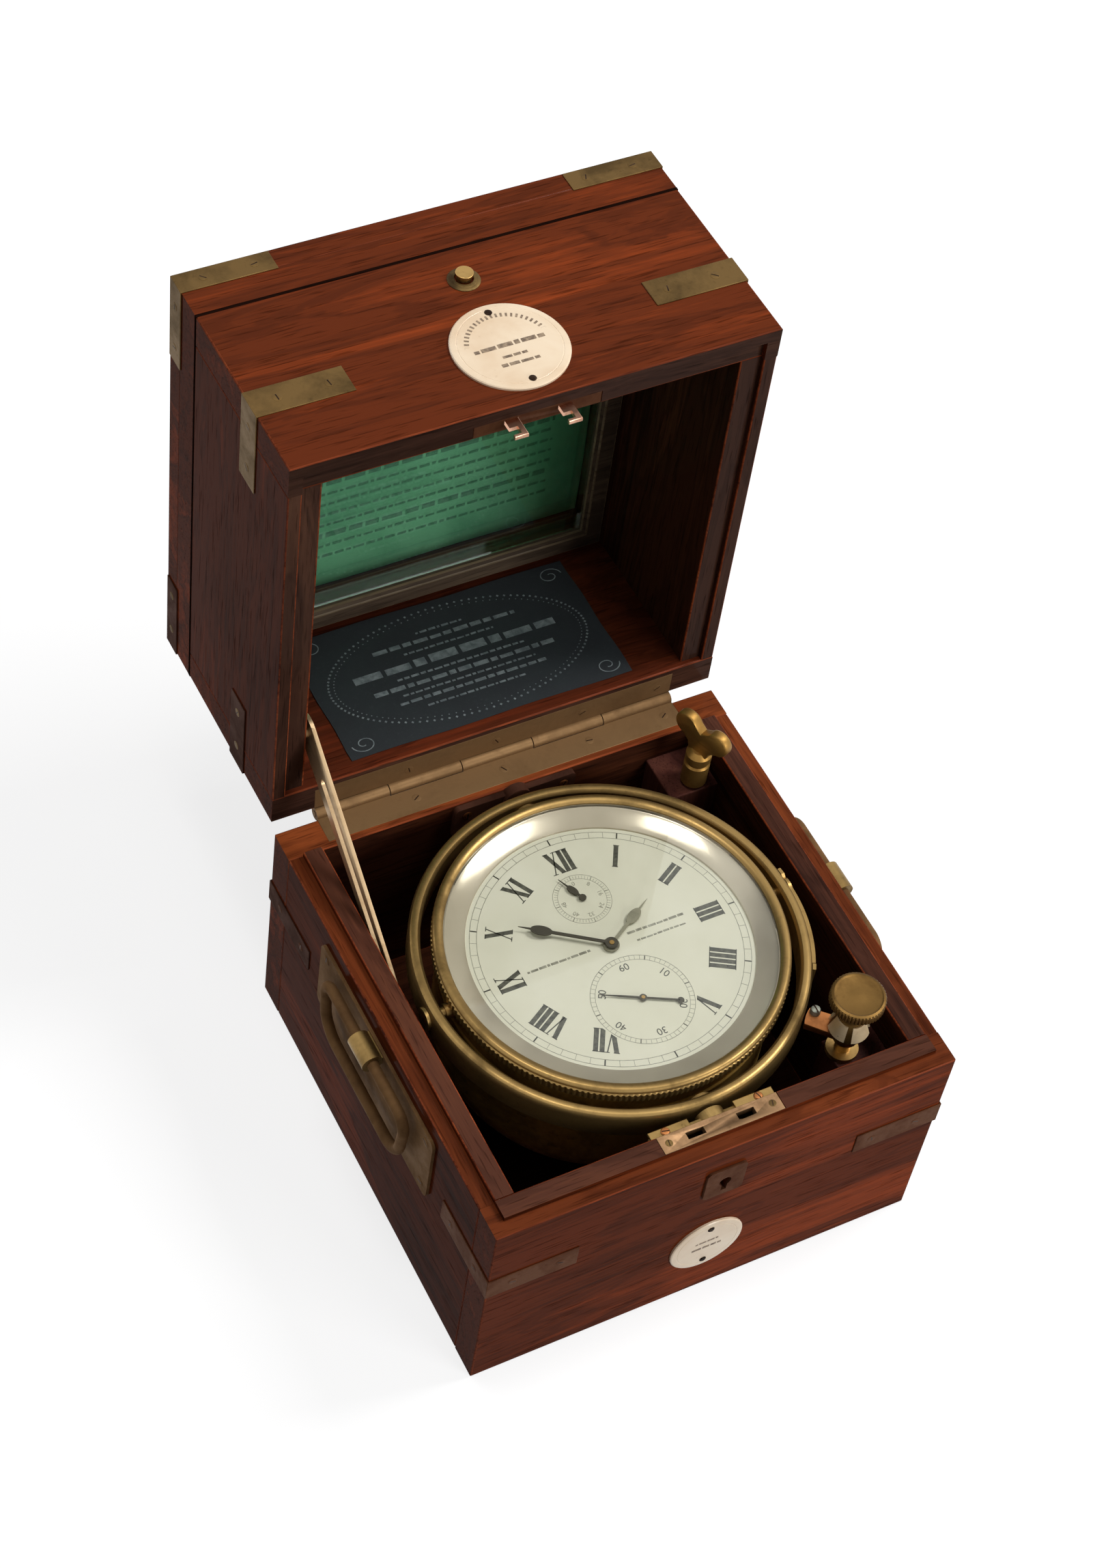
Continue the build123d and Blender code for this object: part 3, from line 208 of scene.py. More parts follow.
def mahogany(name, grain, shift, tones, gloss=0.5, coat=0.08):
    """Wood with its grain along one axis, in a dark, a middle and a bright tone."""
    dark, middle, bright = (srgb(*tone) for tone in tones)
    wood = Finish(name, roughness=gloss, coat_roughness=0.16, specular_ior_level=0.0)
    bands = wood.noise(wood.place(along(grain, 6, 42), shift), 1.0, 5, 0.58, 1.0)
    streaks = wood.noise(wood.place(along(grain, 10, 330), shift), 1.0, 4, 0.65, 0.4)
    patches = wood.noise(wood.place(along(grain, 4, 9), shift), 1.0, 2, 0.5, 0.6)
    pores = wood.noise(wood.place(along(grain, 70, 1500), shift), 1.0, 2, 0.5)
    tone = (bands * 0.40 + streaks * 0.24 + patches * 0.36).step(0.38, 0.62)
    base = wood.ramp(tone, (0.0, dark), (0.40, middle), (0.62, middle), (1.0, bright))
    dark_lines = (bands - 0.5) * (bands - 0.5)
    lined = wood.blend((1 - dark_lines.step(0.0, 0.0012)) * 0.36, base, dark)
    fine = pores.step(0.58, 0.68)
    wood.feed("Base Color", wood.blend(fine * 0.5, lined, tuple(c * 0.45 for c in dark)))
    wood.feed("Roughness", (patches * 0.2 + fine * 0.25 + (gloss - 0.1)).clamped())
    wood.feed("Coat Weight", (1 - fine * 0.6) * (patches * 0.6 + 0.7) * coat)
    wood.bump(streaks * 0.4 - fine * 0.6, 0.12, 0.0001)
    return wood.material


def three_ways(name, shift, tones, gloss=0.5, coat=0.08):
    """The same wood with its grain along each of the three axes."""
    return {grain: mahogany(f"{name}_{grain}", grain, shift, tones, gloss, coat) for grain in "xyz"}


# %% Wood finishes, each in three tones
OUTER = ((58, 26, 14), (102, 45, 21), (146, 63, 27))
polished = {
    (grain, shift): mahogany(f"polished_mahogany_{grain}_{shift}", grain,
                             (0.13 * shift, 0.31 * shift, 0.17 * shift), OUTER)
    for grain in "xyz" for shift in (0, 1)
}
plain_inside = three_ways("inside_mahogany", (0.4, 0.2, 0.6), ((34, 19, 13), (64, 34, 22), (88, 48, 30)),
                          gloss=0.6, coat=0.04)
rim_wood = three_ways("rim_mahogany", (0.7, 0.5, 0.1), ((50, 29, 22), (86, 51, 38), (108, 64, 44)))
lid_rim = three_ways("lid_rim_mahogany", (0.3, 0.1, 0.9), ((38, 25, 20), (66, 43, 34), (86, 57, 43)))
rim_strip = three_ways("rim_strip_mahogany", (0.2, 0.6, 0.3), ((66, 29, 15), (108, 52, 27), (144, 72, 36)),
                       coat=0.05)
# Painted light: a lighter copy of the inside wood, where light falls into the open lid.
painted_light_inside = mahogany("painted_light_inside_mahogany", "x", (0.1, 0.7, 0.2),
                       ((44, 20, 12), (84, 38, 22), (118, 50, 27)), gloss=0.56, coat=0.05)
dark_bead = mahogany("dark_bead", "x", (0.6, 0.1, 0.4),
                     ((50, 42, 34), (82, 68, 56), (104, 88, 72)), gloss=0.6)
# Painted highlight: a pale wood for the bead's arrises, drawing the light line along its edge.
bead_arris_highlight = mahogany("painted_highlight_bead_arris", "x", (0.2, 0.9, 0.1),
                     ((84, 72, 56), (116, 100, 78), (138, 122, 98)))
# Lighter than the polished wood: partly wear on the arrises and partly a painted highlight.
worn_highlit_edge = mahogany("worn_and_highlit_mahogany_edge", "x", (0.9, 0.2, 0.5),
                     ((66, 28, 16), (128, 60, 34), (160, 80, 44)))
# Painted shadow: a near-black wood for the strips that stand for the shadow in the gap between the lid's
# tiers.
joint_shadow_wood = mahogany("painted_joint_shadow", "x", (0.5, 0.4, 0.8),
                      ((16, 9, 7), (30, 16, 11), (44, 24, 16)), coat=0.0)
dark_block = mahogany("dark_corner_block", "z", (0.3, 0.8, 0.5),
                      ((36, 20, 18), (72, 40, 34), (88, 52, 42)), gloss=0.56)
print("wood finishes:", len(bpy.data.materials))


# %% [markdown]
# ## Brass, silver and steel
#
# Brass that is left alone goes brown and greenish in patches, and stays bright where hands and cloths rub
# it. One recipe makes all the brass and the steel: a clean tone, a tarnished tone, and how much of the
# second there is.

# %% The recipe for metal
def metal(name, clean, tarnished, amount, roughness, scale, metallic=1.0, brushed=None):
    """Metal with cloudy tarnish, small spots, and a faint brushing along one axis."""
    made = Finish(name, metallic=metallic, roughness=roughness,
                  specular_ior_level=0.5 if metallic > 0.9 else 0.1)
    here = made.place()
    clouds = made.noise(here, scale, 5, 0.62, 0.3)
    spots = made.noise(here, scale * 9, 3, 0.6)
    cloudy = clouds.step(0.62 - amount * 0.4, 0.86 - amount * 0.4)
    stain = (cloudy + spots.step(0.60, 0.74) * 0.35).clamped()
    made.feed("Base Color", made.blend(stain, srgb(*clean), srgb(*tarnished)))
    stretch = along(brushed, 20, 1400) if brushed else (700, 700, 700)
    scratches = made.noise(made.place(stretch), 1.0, 2, 0.6)
    made.feed("Roughness", (stain * 0.2 + scratches * 0.14 + (roughness - 0.07)).clamped())
    made.bump(scratches + clouds * 0.4, 0.10, 0.00005)
    return made.material


# %% Metal finishes
aged_brass = metal("aged_brass", (110, 88, 52), (66, 51, 31), 0.62, 0.5, 70, 0.8, "x")
strap_brass = metal("strap_brass", (108, 84, 48), (80, 62, 35), 0.5, 0.52, 55, 0.7)
dull_brass = metal("dull_brass", (92, 56, 33), (74, 41, 25), 0.6, 0.62, 60, 0.2)
plate_olive = metal("olive_handle_brass", (124, 92, 57), (100, 73, 46), 0.5, 0.64, 45, 0.2)
bail_olive = metal("olive_bail_brass", (122, 90, 56), (98, 71, 45), 0.5, 0.68, 60, 0.15)
# Painted shade: a darker brass for the parts of straps and brackets at the back of the box.
painted_shade_brass = metal("painted_shade_brass", (72, 42, 29), (54, 30, 20), 0.6, 0.66, 60, 0.1)
hinge_brass = metal("hinge_brass", (126, 98, 66), (108, 82, 54), 0.4, 0.54, 40, 0.6, "x")
plate_brass = metal("lock_plate_brass", (146, 114, 82), (108, 82, 57), 0.4, 0.44, 110, 0.8, "x")
bright_brass = metal("bright_brass", (178, 144, 88), (114, 88, 50), 0.30, 0.30, 50)
pale_brass = metal("pale_stay_brass", (196, 168, 130), (140, 112, 78), 0.34, 0.34, 70, 0.8)
# Painted highlight: a very pale brass for the pads on the knob's skirt.
highlight_pad_brass = metal("painted_highlight_pad_brass", (236, 212, 172), (196, 164, 120), 0.3, 0.3, 60, 0.4)
knob_brass = metal("knob_brass", (102, 77, 41), (78, 57, 29), 0.4, 0.42, 60)
ring_brass = metal("gimbal_ring_brass", (150, 122, 74), (98, 78, 45), 0.45, 0.34, 45, 0.85)
bowl_brass = metal("bowl_brass", (214, 172, 92), (132, 104, 54), 0.5, 0.36, 30, 0.5)
key_brass = metal("key_brass", (152, 116, 60), (108, 78, 38), 0.4, 0.42, 60, 0.75)
copper_brass = metal("coppery_brass", (164, 106, 62), (108, 68, 40), 0.35, 0.34, 60)
pink_brass = metal("pinkish_hook_brass", (226, 178, 150), (150, 106, 84), 0.3, 0.3, 60)
blued_steel = metal("blued_steel", (82, 78, 68), (56, 53, 48), 0.3, 0.4, 80, 0.4)
pale_steel = metal("worn_hand_steel", (150, 146, 126), (106, 102, 86), 0.4, 0.4, 120, 0.4)
soft_steel = metal("dull_screw_steel", (150, 152, 138), (104, 104, 92), 0.4, 0.42, 80, 0.6)
# Dark metal for the pins, also used to paint the shade in the screw slots.
dark_pin_and_painted_slot_shade = metal("dark_pin_and_painted_slot_shade", (60, 44, 34), (30, 22, 18), 0.5, 0.5, 200)
print("wood and metal finishes:", len(bpy.data.materials))

# %% [markdown]
# The dial and the reflector ring round it are silvered by rubbing, which leaves a soft cloudy surface:
# nearly a mirror on the reflector, and chalky on the dial. The marks are wax in engraved lines, a little
# rubbed in places.

# %% Silvering and wax
reflector_silver = Finish("silvered_reflector", metallic=0.42, roughness=0.18)
cloud = reflector_silver.noise(reflector_silver.place(), 26, 4, 0.5)
silver_tone = reflector_silver.ramp(cloud, (0.3, srgb(172, 161, 139)), (0.7, srgb(204, 193, 171)))
reflector_silver.feed("Base Color", silver_tone)
reflector_silver.feed("Roughness", cloud * 0.06 + 0.13)

dial_silver = Finish("silvered_dial", metallic=0.0, roughness=0.46, ior=1.6)
cloud = dial_silver.noise(dial_silver.place(), 22, 5, 0.6)
grains = dial_silver.noise(dial_silver.place(), 900, 2, 0.5)
dial_tone = dial_silver.ramp(cloud, (0.3, srgb(211, 207, 184)), (0.5, srgb(221, 217, 195)),
                             (0.7, srgb(228, 224, 204)))
specks = grains.step(0.6, 0.8) * 0.10
dial_silver.feed("Base Color", dial_silver.blend(specks, dial_tone, srgb(160, 156, 138)))
dial_silver.bump(grains, 0.05, 0.00002)


def wax(name, whole, rubbed, gloss=0.42, scale=500):
    """Engraved marks filled with wax, dark where it is whole and paler where it is rubbed."""
    mark = Finish(name, roughness=gloss)
    wear = mark.noise(mark.place(), scale, 3, 0.6)
    mark.feed("Base Color", mark.ramp(wear, (0.35, srgb(*whole)), (0.7, srgb(*rubbed))))
    return mark.material


dial_ink = wax("dial_wax", (52, 51, 42), (98, 96, 82))
faint_ink = wax("faint_wax", (120, 117, 101), (168, 165, 147))
disc_ink = wax("disc_wax", (96, 78, 62), (168, 146, 120), 0.5, 600)
print("silvering and wax:", reflector_silver.material.name, dial_silver.material.name, dial_ink.name)

# %% [markdown]
# ## Ivory-coloured discs, paper and glass
#
# The two discs on the front are pale and slightly yellowed towards the rim. The labels are papers with
# plain rules printed on them. Clear glass is a mix of see-through and mirror by Fresnel, so that light
# still falls on what lies behind it.

# %% Disc, paper and glass finishes
ivory = Finish("ivory_disc", roughness=0.34, coat_weight=0.25, coat_roughness=0.12)
cloud = ivory.noise(ivory.place(), 40, 4, 0.6, 0.4)
speck = ivory.noise(ivory.place(), 420, 2, 0.5)
disc_tone = ivory.ramp(cloud, (0.3, srgb(226, 198, 164)), (0.55, srgb(240, 218, 188)),
                       (0.8, srgb(246, 228, 202)))
ivory.feed("Base Color", ivory.blend(speck.step(0.66, 0.8) * 0.25, disc_tone, srgb(178, 146, 108)))
ivory.bump(cloud, 0.06, 0.0001)


def paper(name, fair, foxed, worn, scale):
    """Aged paper: two tones in clouds, with darker foxing."""
    card = Finish(name, roughness=0.78)
    mottle = card.noise(card.place(), scale, 5, 0.6, 0.5)
    fibre = card.noise(card.place(), 900, 2, 0.6)
    tone = card.blend(mottle.step(0.38, 0.62), srgb(*fair), srgb(*foxed))
    card.feed("Base Color", card.blend(fibre.step(0.58, 0.72) * 0.3, tone, srgb(*worn)))
    card.bump(fibre, 0.15, 0.00005)
    return card.material


green_paper = paper("green_label_paper", (138, 222, 170), (106, 192, 142), (70, 130, 96), 30)
green_print = paper("green_label_print", (62, 118, 88), (76, 140, 104), (100, 176, 130), 220)
black_paper = paper("black_label_paper", (24, 30, 34), (18, 22, 27), (44, 50, 54), 40)
grey_print = paper("grey_label_print", (132, 140, 142), (92, 100, 104), (60, 66, 70), 300)


def clear_glass(name, tint, shine):
    """See-through glass that mirrors more at a slant."""
    pane = Finish(name)
    through = pane.node("ShaderNodeBsdfTransparent", None, {"Color": (*tint, 1)})
    mirror = pane.node("ShaderNodeBsdfGlossy", None, {"Color": (0.95, 0.97, 0.96, 1), "Roughness": 0.03})
    slant = pane.node("ShaderNodeFresnel", None, {"IOR": 1.5})
    mixed = pane.node("ShaderNodeMixShader", None, {0: slant * shine, 1: through, 2: mirror})
    pane.tree.links.new(mixed.socket, pane.tree.nodes["Material Output"].inputs["Surface"])
    return pane.material


lid_pane_glass = clear_glass("lid_pane_glass", (0.95, 0.98, 0.96), 0.5)
watch_glass = clear_glass("watch_glass", (0.985, 0.99, 0.985), 0.4)
print("finishes in all:", len(bpy.data.materials))


# %% [markdown]
# ## Making pieces
#
# `piece` turns a bmesh into an object that rides on a CAD body. A finished piece keeps its place in its
# mesh, so its object sits at the origin. `lathe` spins a profile, which suits the bowl, the bezel and every
# other turned part. `skin`, which closes the lathe's rings, also serves any shape that is a row of
# cross-sections, such as a curved spring.

# %% From a mesh to a piece
def piece(name, mesh, body, materials, smooth=None, place=None, replaces=()):
    """A finished object from a bmesh. smooth is the angle in degrees under which faces shade as one."""
    if place is not None:
        mesh.transform(place)
    data = bpy.data.meshes.new(name)
    mesh.to_mesh(data)
    mesh.free()
    made = bpy.data.objects.new(name, data)
    bpy.context.scene.collection.objects.link(made)
    for material in materials if isinstance(materials, (list, tuple)) else [materials]:
        data.materials.append(material)
    if smooth is not None:
        data.shade_smooth()
        data.set_sharp_from_angle(angle=math.radians(smooth))
    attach(made, body)
    for node in replaces:
        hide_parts(node)
    print(name, "faces:", len(data.polygons))
    return made


def add_to(whole, part):
    """Add one bmesh to another, through a mesh that is thrown away."""
    data = bpy.data.meshes.new("part")
    part.to_mesh(data)
    part.free()
    whole.from_mesh(data)
    bpy.data.meshes.remove(data)


# %% Turned and built-up shapes
def polar(centre, reach, angle):
    return centre[0] + reach * math.cos(angle), centre[1] + reach * math.sin(angle)


def round_corners(count, radius, centre=(0, 0)):
    """Corners spaced evenly round a circle."""
    return [polar(centre, radius, 2 * math.pi * index / count) for index in range(count)]


def arc(centre_r, centre_z, radius, start, end, steps):
    """Points on an arc in the plane of a profile, its angles in degrees."""
    angles = [math.radians(start + (end - start) * step / steps) for step in range(steps + 1)]
    return [polar((centre_r, centre_z), radius, angle) for angle in angles]


def skin(mesh, rows, caps=True):
    """Walls between rows of corners, each row a closed loop, and a face over each end."""
    for first, second in zip(rows, rows[1:]):
        for index in range(len(first)):
            after = (index + 1) % len(first)
            mesh.faces.new((first[index], second[index], second[after], first[after]))
    if caps:
        mesh.faces.new(rows[0])
        mesh.faces.new(list(reversed(rows[-1])))
    bmesh.ops.remove_doubles(mesh, verts=mesh.verts, dist=1e-7)
    bmesh.ops.recalc_face_normals(mesh, faces=mesh.faces)


def lathe(profile, segments=160, centre=(0, 0), wave=None):
    """A closed profile of (radius, height) points, turned about an upright axis.

    Where a point has a third value, wave(index) is added to its radius on each segment.
    """
    mesh = bmesh.new()
    rings = []
    for index in range(segments):
        angle = 2 * math.pi * index / segments
        ring = []
        for radius, height, *waved in profile:
            reach = radius + (wave(index) if waved else 0)
            ring.append(mesh.verts.new([c * MM for c in (*polar(centre, reach, angle), height)]))
        rings.append(ring)
    skin(mesh, rings + rings[:1], caps=False)
    return mesh


def prism(mesh, outline, low, high):
    """A flat outline raised into a thin solid, added to a mesh."""
    under = [mesh.verts.new((x * MM, y * MM, low * MM)) for x, y in outline]
    over = [mesh.verts.new((x * MM, y * MM, high * MM)) for x, y in outline]
    mesh.faces.new(over)
    mesh.faces.new(list(reversed(under)))
    for index in range(len(outline)):
        after = (index + 1) % len(outline)
        mesh.faces.new((under[index], under[after], over[after], over[index]))


def box(mesh, low, high, unit=MM):
    """A plain block between two corners, added to a mesh."""
    low, high = [c * unit for c in low], [c * unit for c in high]
    made = bmesh.ops.create_cube(mesh, size=1.0)["verts"]
    bmesh.ops.scale(mesh, vec=[b - a for a, b in zip(low, high)], verts=made)
    bmesh.ops.translate(mesh, vec=[(a + b) / 2 for a, b in zip(low, high)], verts=made)
    return made


# %% [markdown]
# A CAD shape comes as loose triangles with dead sharp edges. Nothing made by hand has those, and a thin
# bright line along an edge is what makes wood look planed and brass look like metal. So each copy is
# merged into whole faces first, and then a Bevel modifier rounds those edges that are long, stick out,
# and show.

# %% Copies of CAD parts, and their edges
SAME_POINT = 2e-6
FLAT_ANGLE, ARRIS_ANGLE = 0.5, 40


def solid_copy(node):
    """A merged copy of a CAD node, its flat faces joined, as a bmesh."""
    mesh = bmesh.new()
    mesh.from_mesh(nodes[node].data)
    bmesh.ops.remove_doubles(mesh, verts=mesh.verts, dist=SAME_POINT)
    limit = math.radians(FLAT_ANGLE)
    bmesh.ops.dissolve_limit(mesh, angle_limit=limit, verts=mesh.verts, edges=mesh.edges)
    return mesh


def soften(made, width, shortest=8, edge_material=None, spare=None):
    """Round the long outer arrises of a piece, with a finish of their own where one is given.

    spare is a test on an edge's middle, in millimetres. An edge that passes it stays sharp.
    """
    mesh = bmesh.new()
    mesh.from_mesh(made.data)
    weight = mesh.edges.layers.float.new("bevel_weight_edge")
    rounded = 0
    for edge in mesh.edges:
        middle = (edge.verts[0].co + edge.verts[1].co) / 2 / MM
        outer = edge.is_manifold and edge.calc_face_angle_signed() > math.radians(ARRIS_ANGLE)
        if outer and edge.calc_length() > shortest * MM and not (spare and spare(middle)):
            edge[weight] = 1.0
            rounded += 1
    mesh.to_mesh(made.data)
    mesh.free()
    bevel = made.modifiers.new("arris", "BEVEL")
    bevel.width = width * MM
    bevel.segments = 2
    bevel.limit_method = "WEIGHT"
    bevel.use_clamp_overlap = False
    if edge_material is not None:
        made.data.materials.append(edge_material)
        bevel.material = len(made.data.materials) - 1
    print(made.name, "arrises:", rounded)


def refinish(material, *names):
    """Give CAD nodes that keep their own shape a better material."""
    for name in names:
        for place in nodes[name].material_slots:
            place.material = material


# %% [markdown]
# ## The wooden boards
#
# Every board is copied from the CAD, so that its faces merge and its arrises can be rounded. Faces that
# look outwards are polished, the rim is duller, and the inside is dark. The grain of each board runs along
# its length, and on the lid the side boards stand upright once it is open.

# %% Board copies with their finishes
ARRIS = 0.5
BOARD_EDGE, BLOCK_EDGE, BEAD_EDGE = 15, 5, 3
ALIGNED = 0.9
STRIP_LEVEL = 0.2


def board(node, grain, shift, outward, rim, edge=ARRIS, inside=None, spare=None):
    """Finish one board. Faces along the directions outward and rim get the outer and the rim finish."""
    mesh = solid_copy(node)
    outward, rim = Vector(outward), Vector(rim)
    for face in mesh.faces:
        low_strip = abs(face.calc_center_median().z / MM - BASE_TOP) < STRIP_LEVEL
        if face.normal.dot(rim) > ALIGNED:
            face.material_index = 3 if low_strip else 1
        else:
            face.material_index = 2 if face.normal.dot(outward) < -ALIGNED else 0
    rims = lid_rim if node.startswith("mid") else rim_wood
    materials = [polished[grain, shift], rims[grain], inside or plain_inside[grain], rim_strip[grain]]
    made = piece(f"{node}_wood", mesh, body_of_node[node], materials, replaces=[node])
    if edge:
        soften(made, edge, BOARD_EDGE, worn_highlit_edge, spare)


UP, DOWN, FRONT, BACK, LEFT, RIGHT = (0, 0, 1), (0, 0, -1), (0, -1, 0), (0, 1, 0), (-1, 0, 0), (1, 0, 0)
NO_RIM = (0, 0, 0)
board("base_front_board", "x", 0, FRONT, UP, spare=lambda spot: spot.z > 99 and spot.y < -84)
board("base_back_board", "x", 1, BACK, UP)
board("base_left_board", "y", 0, LEFT, UP)
board("base_right_board", "y", 1, RIGHT, UP)
board("base_bottom_board", "x", 0, DOWN, NO_RIM)
board("mid_front_board", "x", 1, UP, FRONT)
# The inside of the lid's back board gets the lighter copy, painted light.
board("mid_back_board", "x", 0, DOWN, FRONT, inside=painted_light_inside)
board("mid_left_board", "z", 0, LEFT, FRONT)
board("mid_right_board", "z", 1, RIGHT, FRONT)
board("top_panel", "x", 1, BACK, NO_RIM)
board("top_frame", "x", 0, UP, NO_RIM, edge=0)
for node in ("lock_corner_block", "key_corner_block"):
    block = piece(f"{node}_wood", solid_copy(node), "base", dark_block, replaces=[node])
    soften(block, 0.6, BLOCK_EDGE)
# The bead's arrises get the pale finish, a painted highlight.
bead = piece("glass_bead_wood", solid_copy("glass_bead"), "mid_lid", [dark_bead],
             replaces=["glass_bead"])
soften(bead, ARRIS, BEAD_EDGE, bead_arris_highlight)

# %% [markdown]
# The two tiers of the lid meet in a shadowed gap all round. Four thin dark strips, a hair proud of the
# boards, paint that shadow as a fine dark line.

# %% Painted shadow in the joint between the two tiers of the lid
JOINT_LOW, JOINT_HIGH = 173.6, 174.9
near, far = CASE_HALF - 0.1, CASE_HALF + 0.06
joint = bmesh.new()
for low, high in (((-far, -far), (far, -near)), ((-far, near), (far, far)),
                  ((-far, -near), (-near, near)), ((near, -near), (far, near))):
    box(joint, (*low, JOINT_LOW), (*high, JOINT_HIGH))
piece("tier_joint", joint, "mid_lid", joint_shadow_wood, place=lid_open)


# %% [markdown]
# ## Brass fittings from the CAD
#
# The straps, hinges, handles and the lock keep their CAD shape. The straps and plates get rounded arrises
# from a copy. Where one fitting shows two colours, a test on a face's middle picks the second one. On the
# straps and the gimbal brackets that second colour is a painted shade: darker brass on the parts at the
# back.

# %% Fittings with rounded edges
FITTING_EDGE = 4


def fitting(node, material, width, special=None, where=None):
    """Copy a fitting with softer arrises. Faces that pass the test 'where' get the special finish."""
    mesh = solid_copy(node)
    if where:
        for face in mesh.faces:
            face.material_index = 1 if where(face.calc_center_median() / MM) else 0
    materials = [material, special] if special else [material]
    made = piece(f"{node}_metal", mesh, body_of_node[node], materials, smooth=30, replaces=[node])
    soften(made, width, FITTING_EDGE)


def shut_place(spot):
    """Where a point of the open lid, in millimetres, lies when the lid is shut."""
    return lid_open.inverted() @ (Vector(spot) * MM) / MM


def behind(spot):
    return shut_place(spot).y > 40


def on_knuckle(spot):
    return abs(spot.x) > 92.4 and abs(spot.y) < 8 and spot.z > 80


def on_hooks(spot):
    return shut_place(spot).z < 100.4


# The faces at the back of the straps and of the gimbal brackets get the painted shade.
fitting("base_corner_straps", dull_brass, 0.2, special=painted_shade_brass, where=lambda spot: spot.y > 40)
fitting("mid_corner_straps", strap_brass, 0.2, special=painted_shade_brass, where=behind)
fitting("top_corner_straps", strap_brass, 0.2, special=painted_shade_brass, where=behind)
fitting("keyhole_plate", dull_brass, 0.25)
fitting("main_hinge_base_leaf", hinge_brass, 0.2)
fitting("main_hinge_lid_leaf", hinge_brass, 0.2)
fitting("top_hinge_mid_leaf", hinge_brass, 0.15)
fitting("top_hinge_top_leaf", hinge_brass, 0.15)
fitting("transit_lock_arm", copper_brass, 0.4)
fitting("stay_arm", pale_brass, 0.25)
fitting("lock_case", aged_brass, 0.2, special=plate_brass, where=lambda spot: spot.z > 98.4)
fitting("gimbal_brackets", ring_brass, 0.3, painted_shade_brass, lambda spot: spot.y > 0)
fitting("handle_plates", plate_olive, 0.35, special=ring_brass, where=on_knuckle)
fitting("lock_link_plate", dull_brass, 0.2, special=pink_brass, where=on_hooks)

# %% [markdown]
# The front bracket of the gimbals ends in two lips that lie level on its top edge, one on each side of
# the pivot. Blocks are enough for them, once their edges are rounded.

# %% Lips of the front bracket
lips = bmesh.new()
for side in SIDES:
    for width, low, high in ((24.6, (-77.9, 95.9), (-74.0, 97.5)), (12.4, (-75.6, 86.0), (-74.2, 95.9))):
        left, right = sorted((side * 9.0, side * width))
        box(lips, (left, *low), (right, *high))
soften(piece("bracket_lips", lips, "base", ring_brass), 0.3, 3)

# %% Fittings that keep their CAD mesh
refinish(hinge_brass, "main_hinge_pin", "top_hinge_pin")
refinish(bail_olive, "handle_bail_left", "handle_bail_right")
refinish(aged_brass, "catch_hook", "lock_bolt", "stay_base_stud")
refinish(bright_brass, "catch_button", "movement_pillar_plate", "movement_back_plate", "centre_wheel",
         "fourth_wheel", "spring_barrel", "fusee", "balance", "transit_lock_post")
refinish(ring_brass, "gimbal_pivots")
refinish(blued_steel, "minute_hand", "seconds_hand", "reserve_hand")
refinish(pale_steel, "hour_hand")
refinish(lid_pane_glass, "lid_glass")
refinish(dial_silver.material, "dial")
print("CAD nodes:", len(nodes))


# %% [markdown]
# ## Turned parts: bowl, bezel, reflector, ring and dial
#
# These are surfaces of revolution, and the eye catches every facet of a bright ring. They are turned again
# here in many more steps, with the same radii as the CAD, and with the small steps and hollows that a lathe
# leaves. A profile starts and ends a hair off the axis, so that it stays a closed loop.

# %% Bowl with its two bushes
AXIS = 0.01
BOWL_RADIUS, BOWL_WALL, BOWL_ROUND, BOWL_ROUND_HEIGHT = 61.5, 1.9, 18.0, 54.0

core = BOWL_RADIUS - BOWL_ROUND
profile = [(AXIS, 36.0)] + arc(core, BOWL_ROUND_HEIGHT, BOWL_ROUND, -90, 0, 14)
profile += [(61.5, 84.5), (62.1, 85.1), (62.1, 86.3), (61.5, 86.9), (61.5, 97.0), (59.6, 97.0)]
profile += arc(core, BOWL_ROUND_HEIGHT, BOWL_ROUND - BOWL_WALL, 0, -90, 10) + [(AXIS, 37.9)]
piece("bowl_turned", lathe(profile, 192), "bowl_body", bowl_brass, smooth=32,
      replaces=["bowl"])

BUSH_RADIUS, BUSH_LENGTH, BUSH_MIDDLE = 2.9, 5.2, 63.6
bushes = bmesh.new()
for side in SIDES:
    bmesh.ops.create_cone(bushes, cap_ends=True, segments=32, radius1=BUSH_RADIUS * MM,
                          radius2=BUSH_RADIUS * MM, depth=BUSH_LENGTH * MM,
                          matrix=placed((side * BUSH_MIDDLE, 0, PIVOT_HEIGHT), 90, "Y"))
piece("bowl_bushes", bushes, "bowl_body", bright_brass, smooth=35)

# %% Bezel, reflector and glass
COIN_TEETH = 200
STEPS_PER_TOOTH = 4
COIN_DEPTH = 0.45


def coin_edge(index):
    """Half of each tooth lies deeper."""
    return 0.0 if index % STEPS_PER_TOOTH < STEPS_PER_TOOTH / 2 else -COIN_DEPTH


profile = [(60.8, 97.0), (64.3, 97.0), (64.9, 97.4, 1), (64.9, 100.6, 1), (64.2, 101.0), (64.2, 101.3)]
profile += arc(63.1, 101.9, 1.6, 5, 82, 9) + [(62.8, 103.5), (62.0, 103.4), (61.2, 103.0), (60.7, 102.6)]
profile += [(60.7, 102.4), (60.8, 102.4)]
bezel = lathe(profile, COIN_TEETH * STEPS_PER_TOOTH, wave=coin_edge)
piece("bezel_turned", bezel, "bowl_body", ring_brass, smooth=28, replaces=["bezel"])

profile = [(52.5, 97.7), (60.7, 97.7), (60.7, 101.0), (60.2, 101.0), (59.9, 100.85), (59.4, 100.6)]
profile += [(57.0, 99.7), (54.6, 98.9), (53.1, 98.5), (52.65, 98.4), (52.5, 98.2)]
piece("reflector_turned", lathe(profile, 256), "bowl_body", reflector_silver.material,
      smooth=40, replaces=["reflector_ring"])

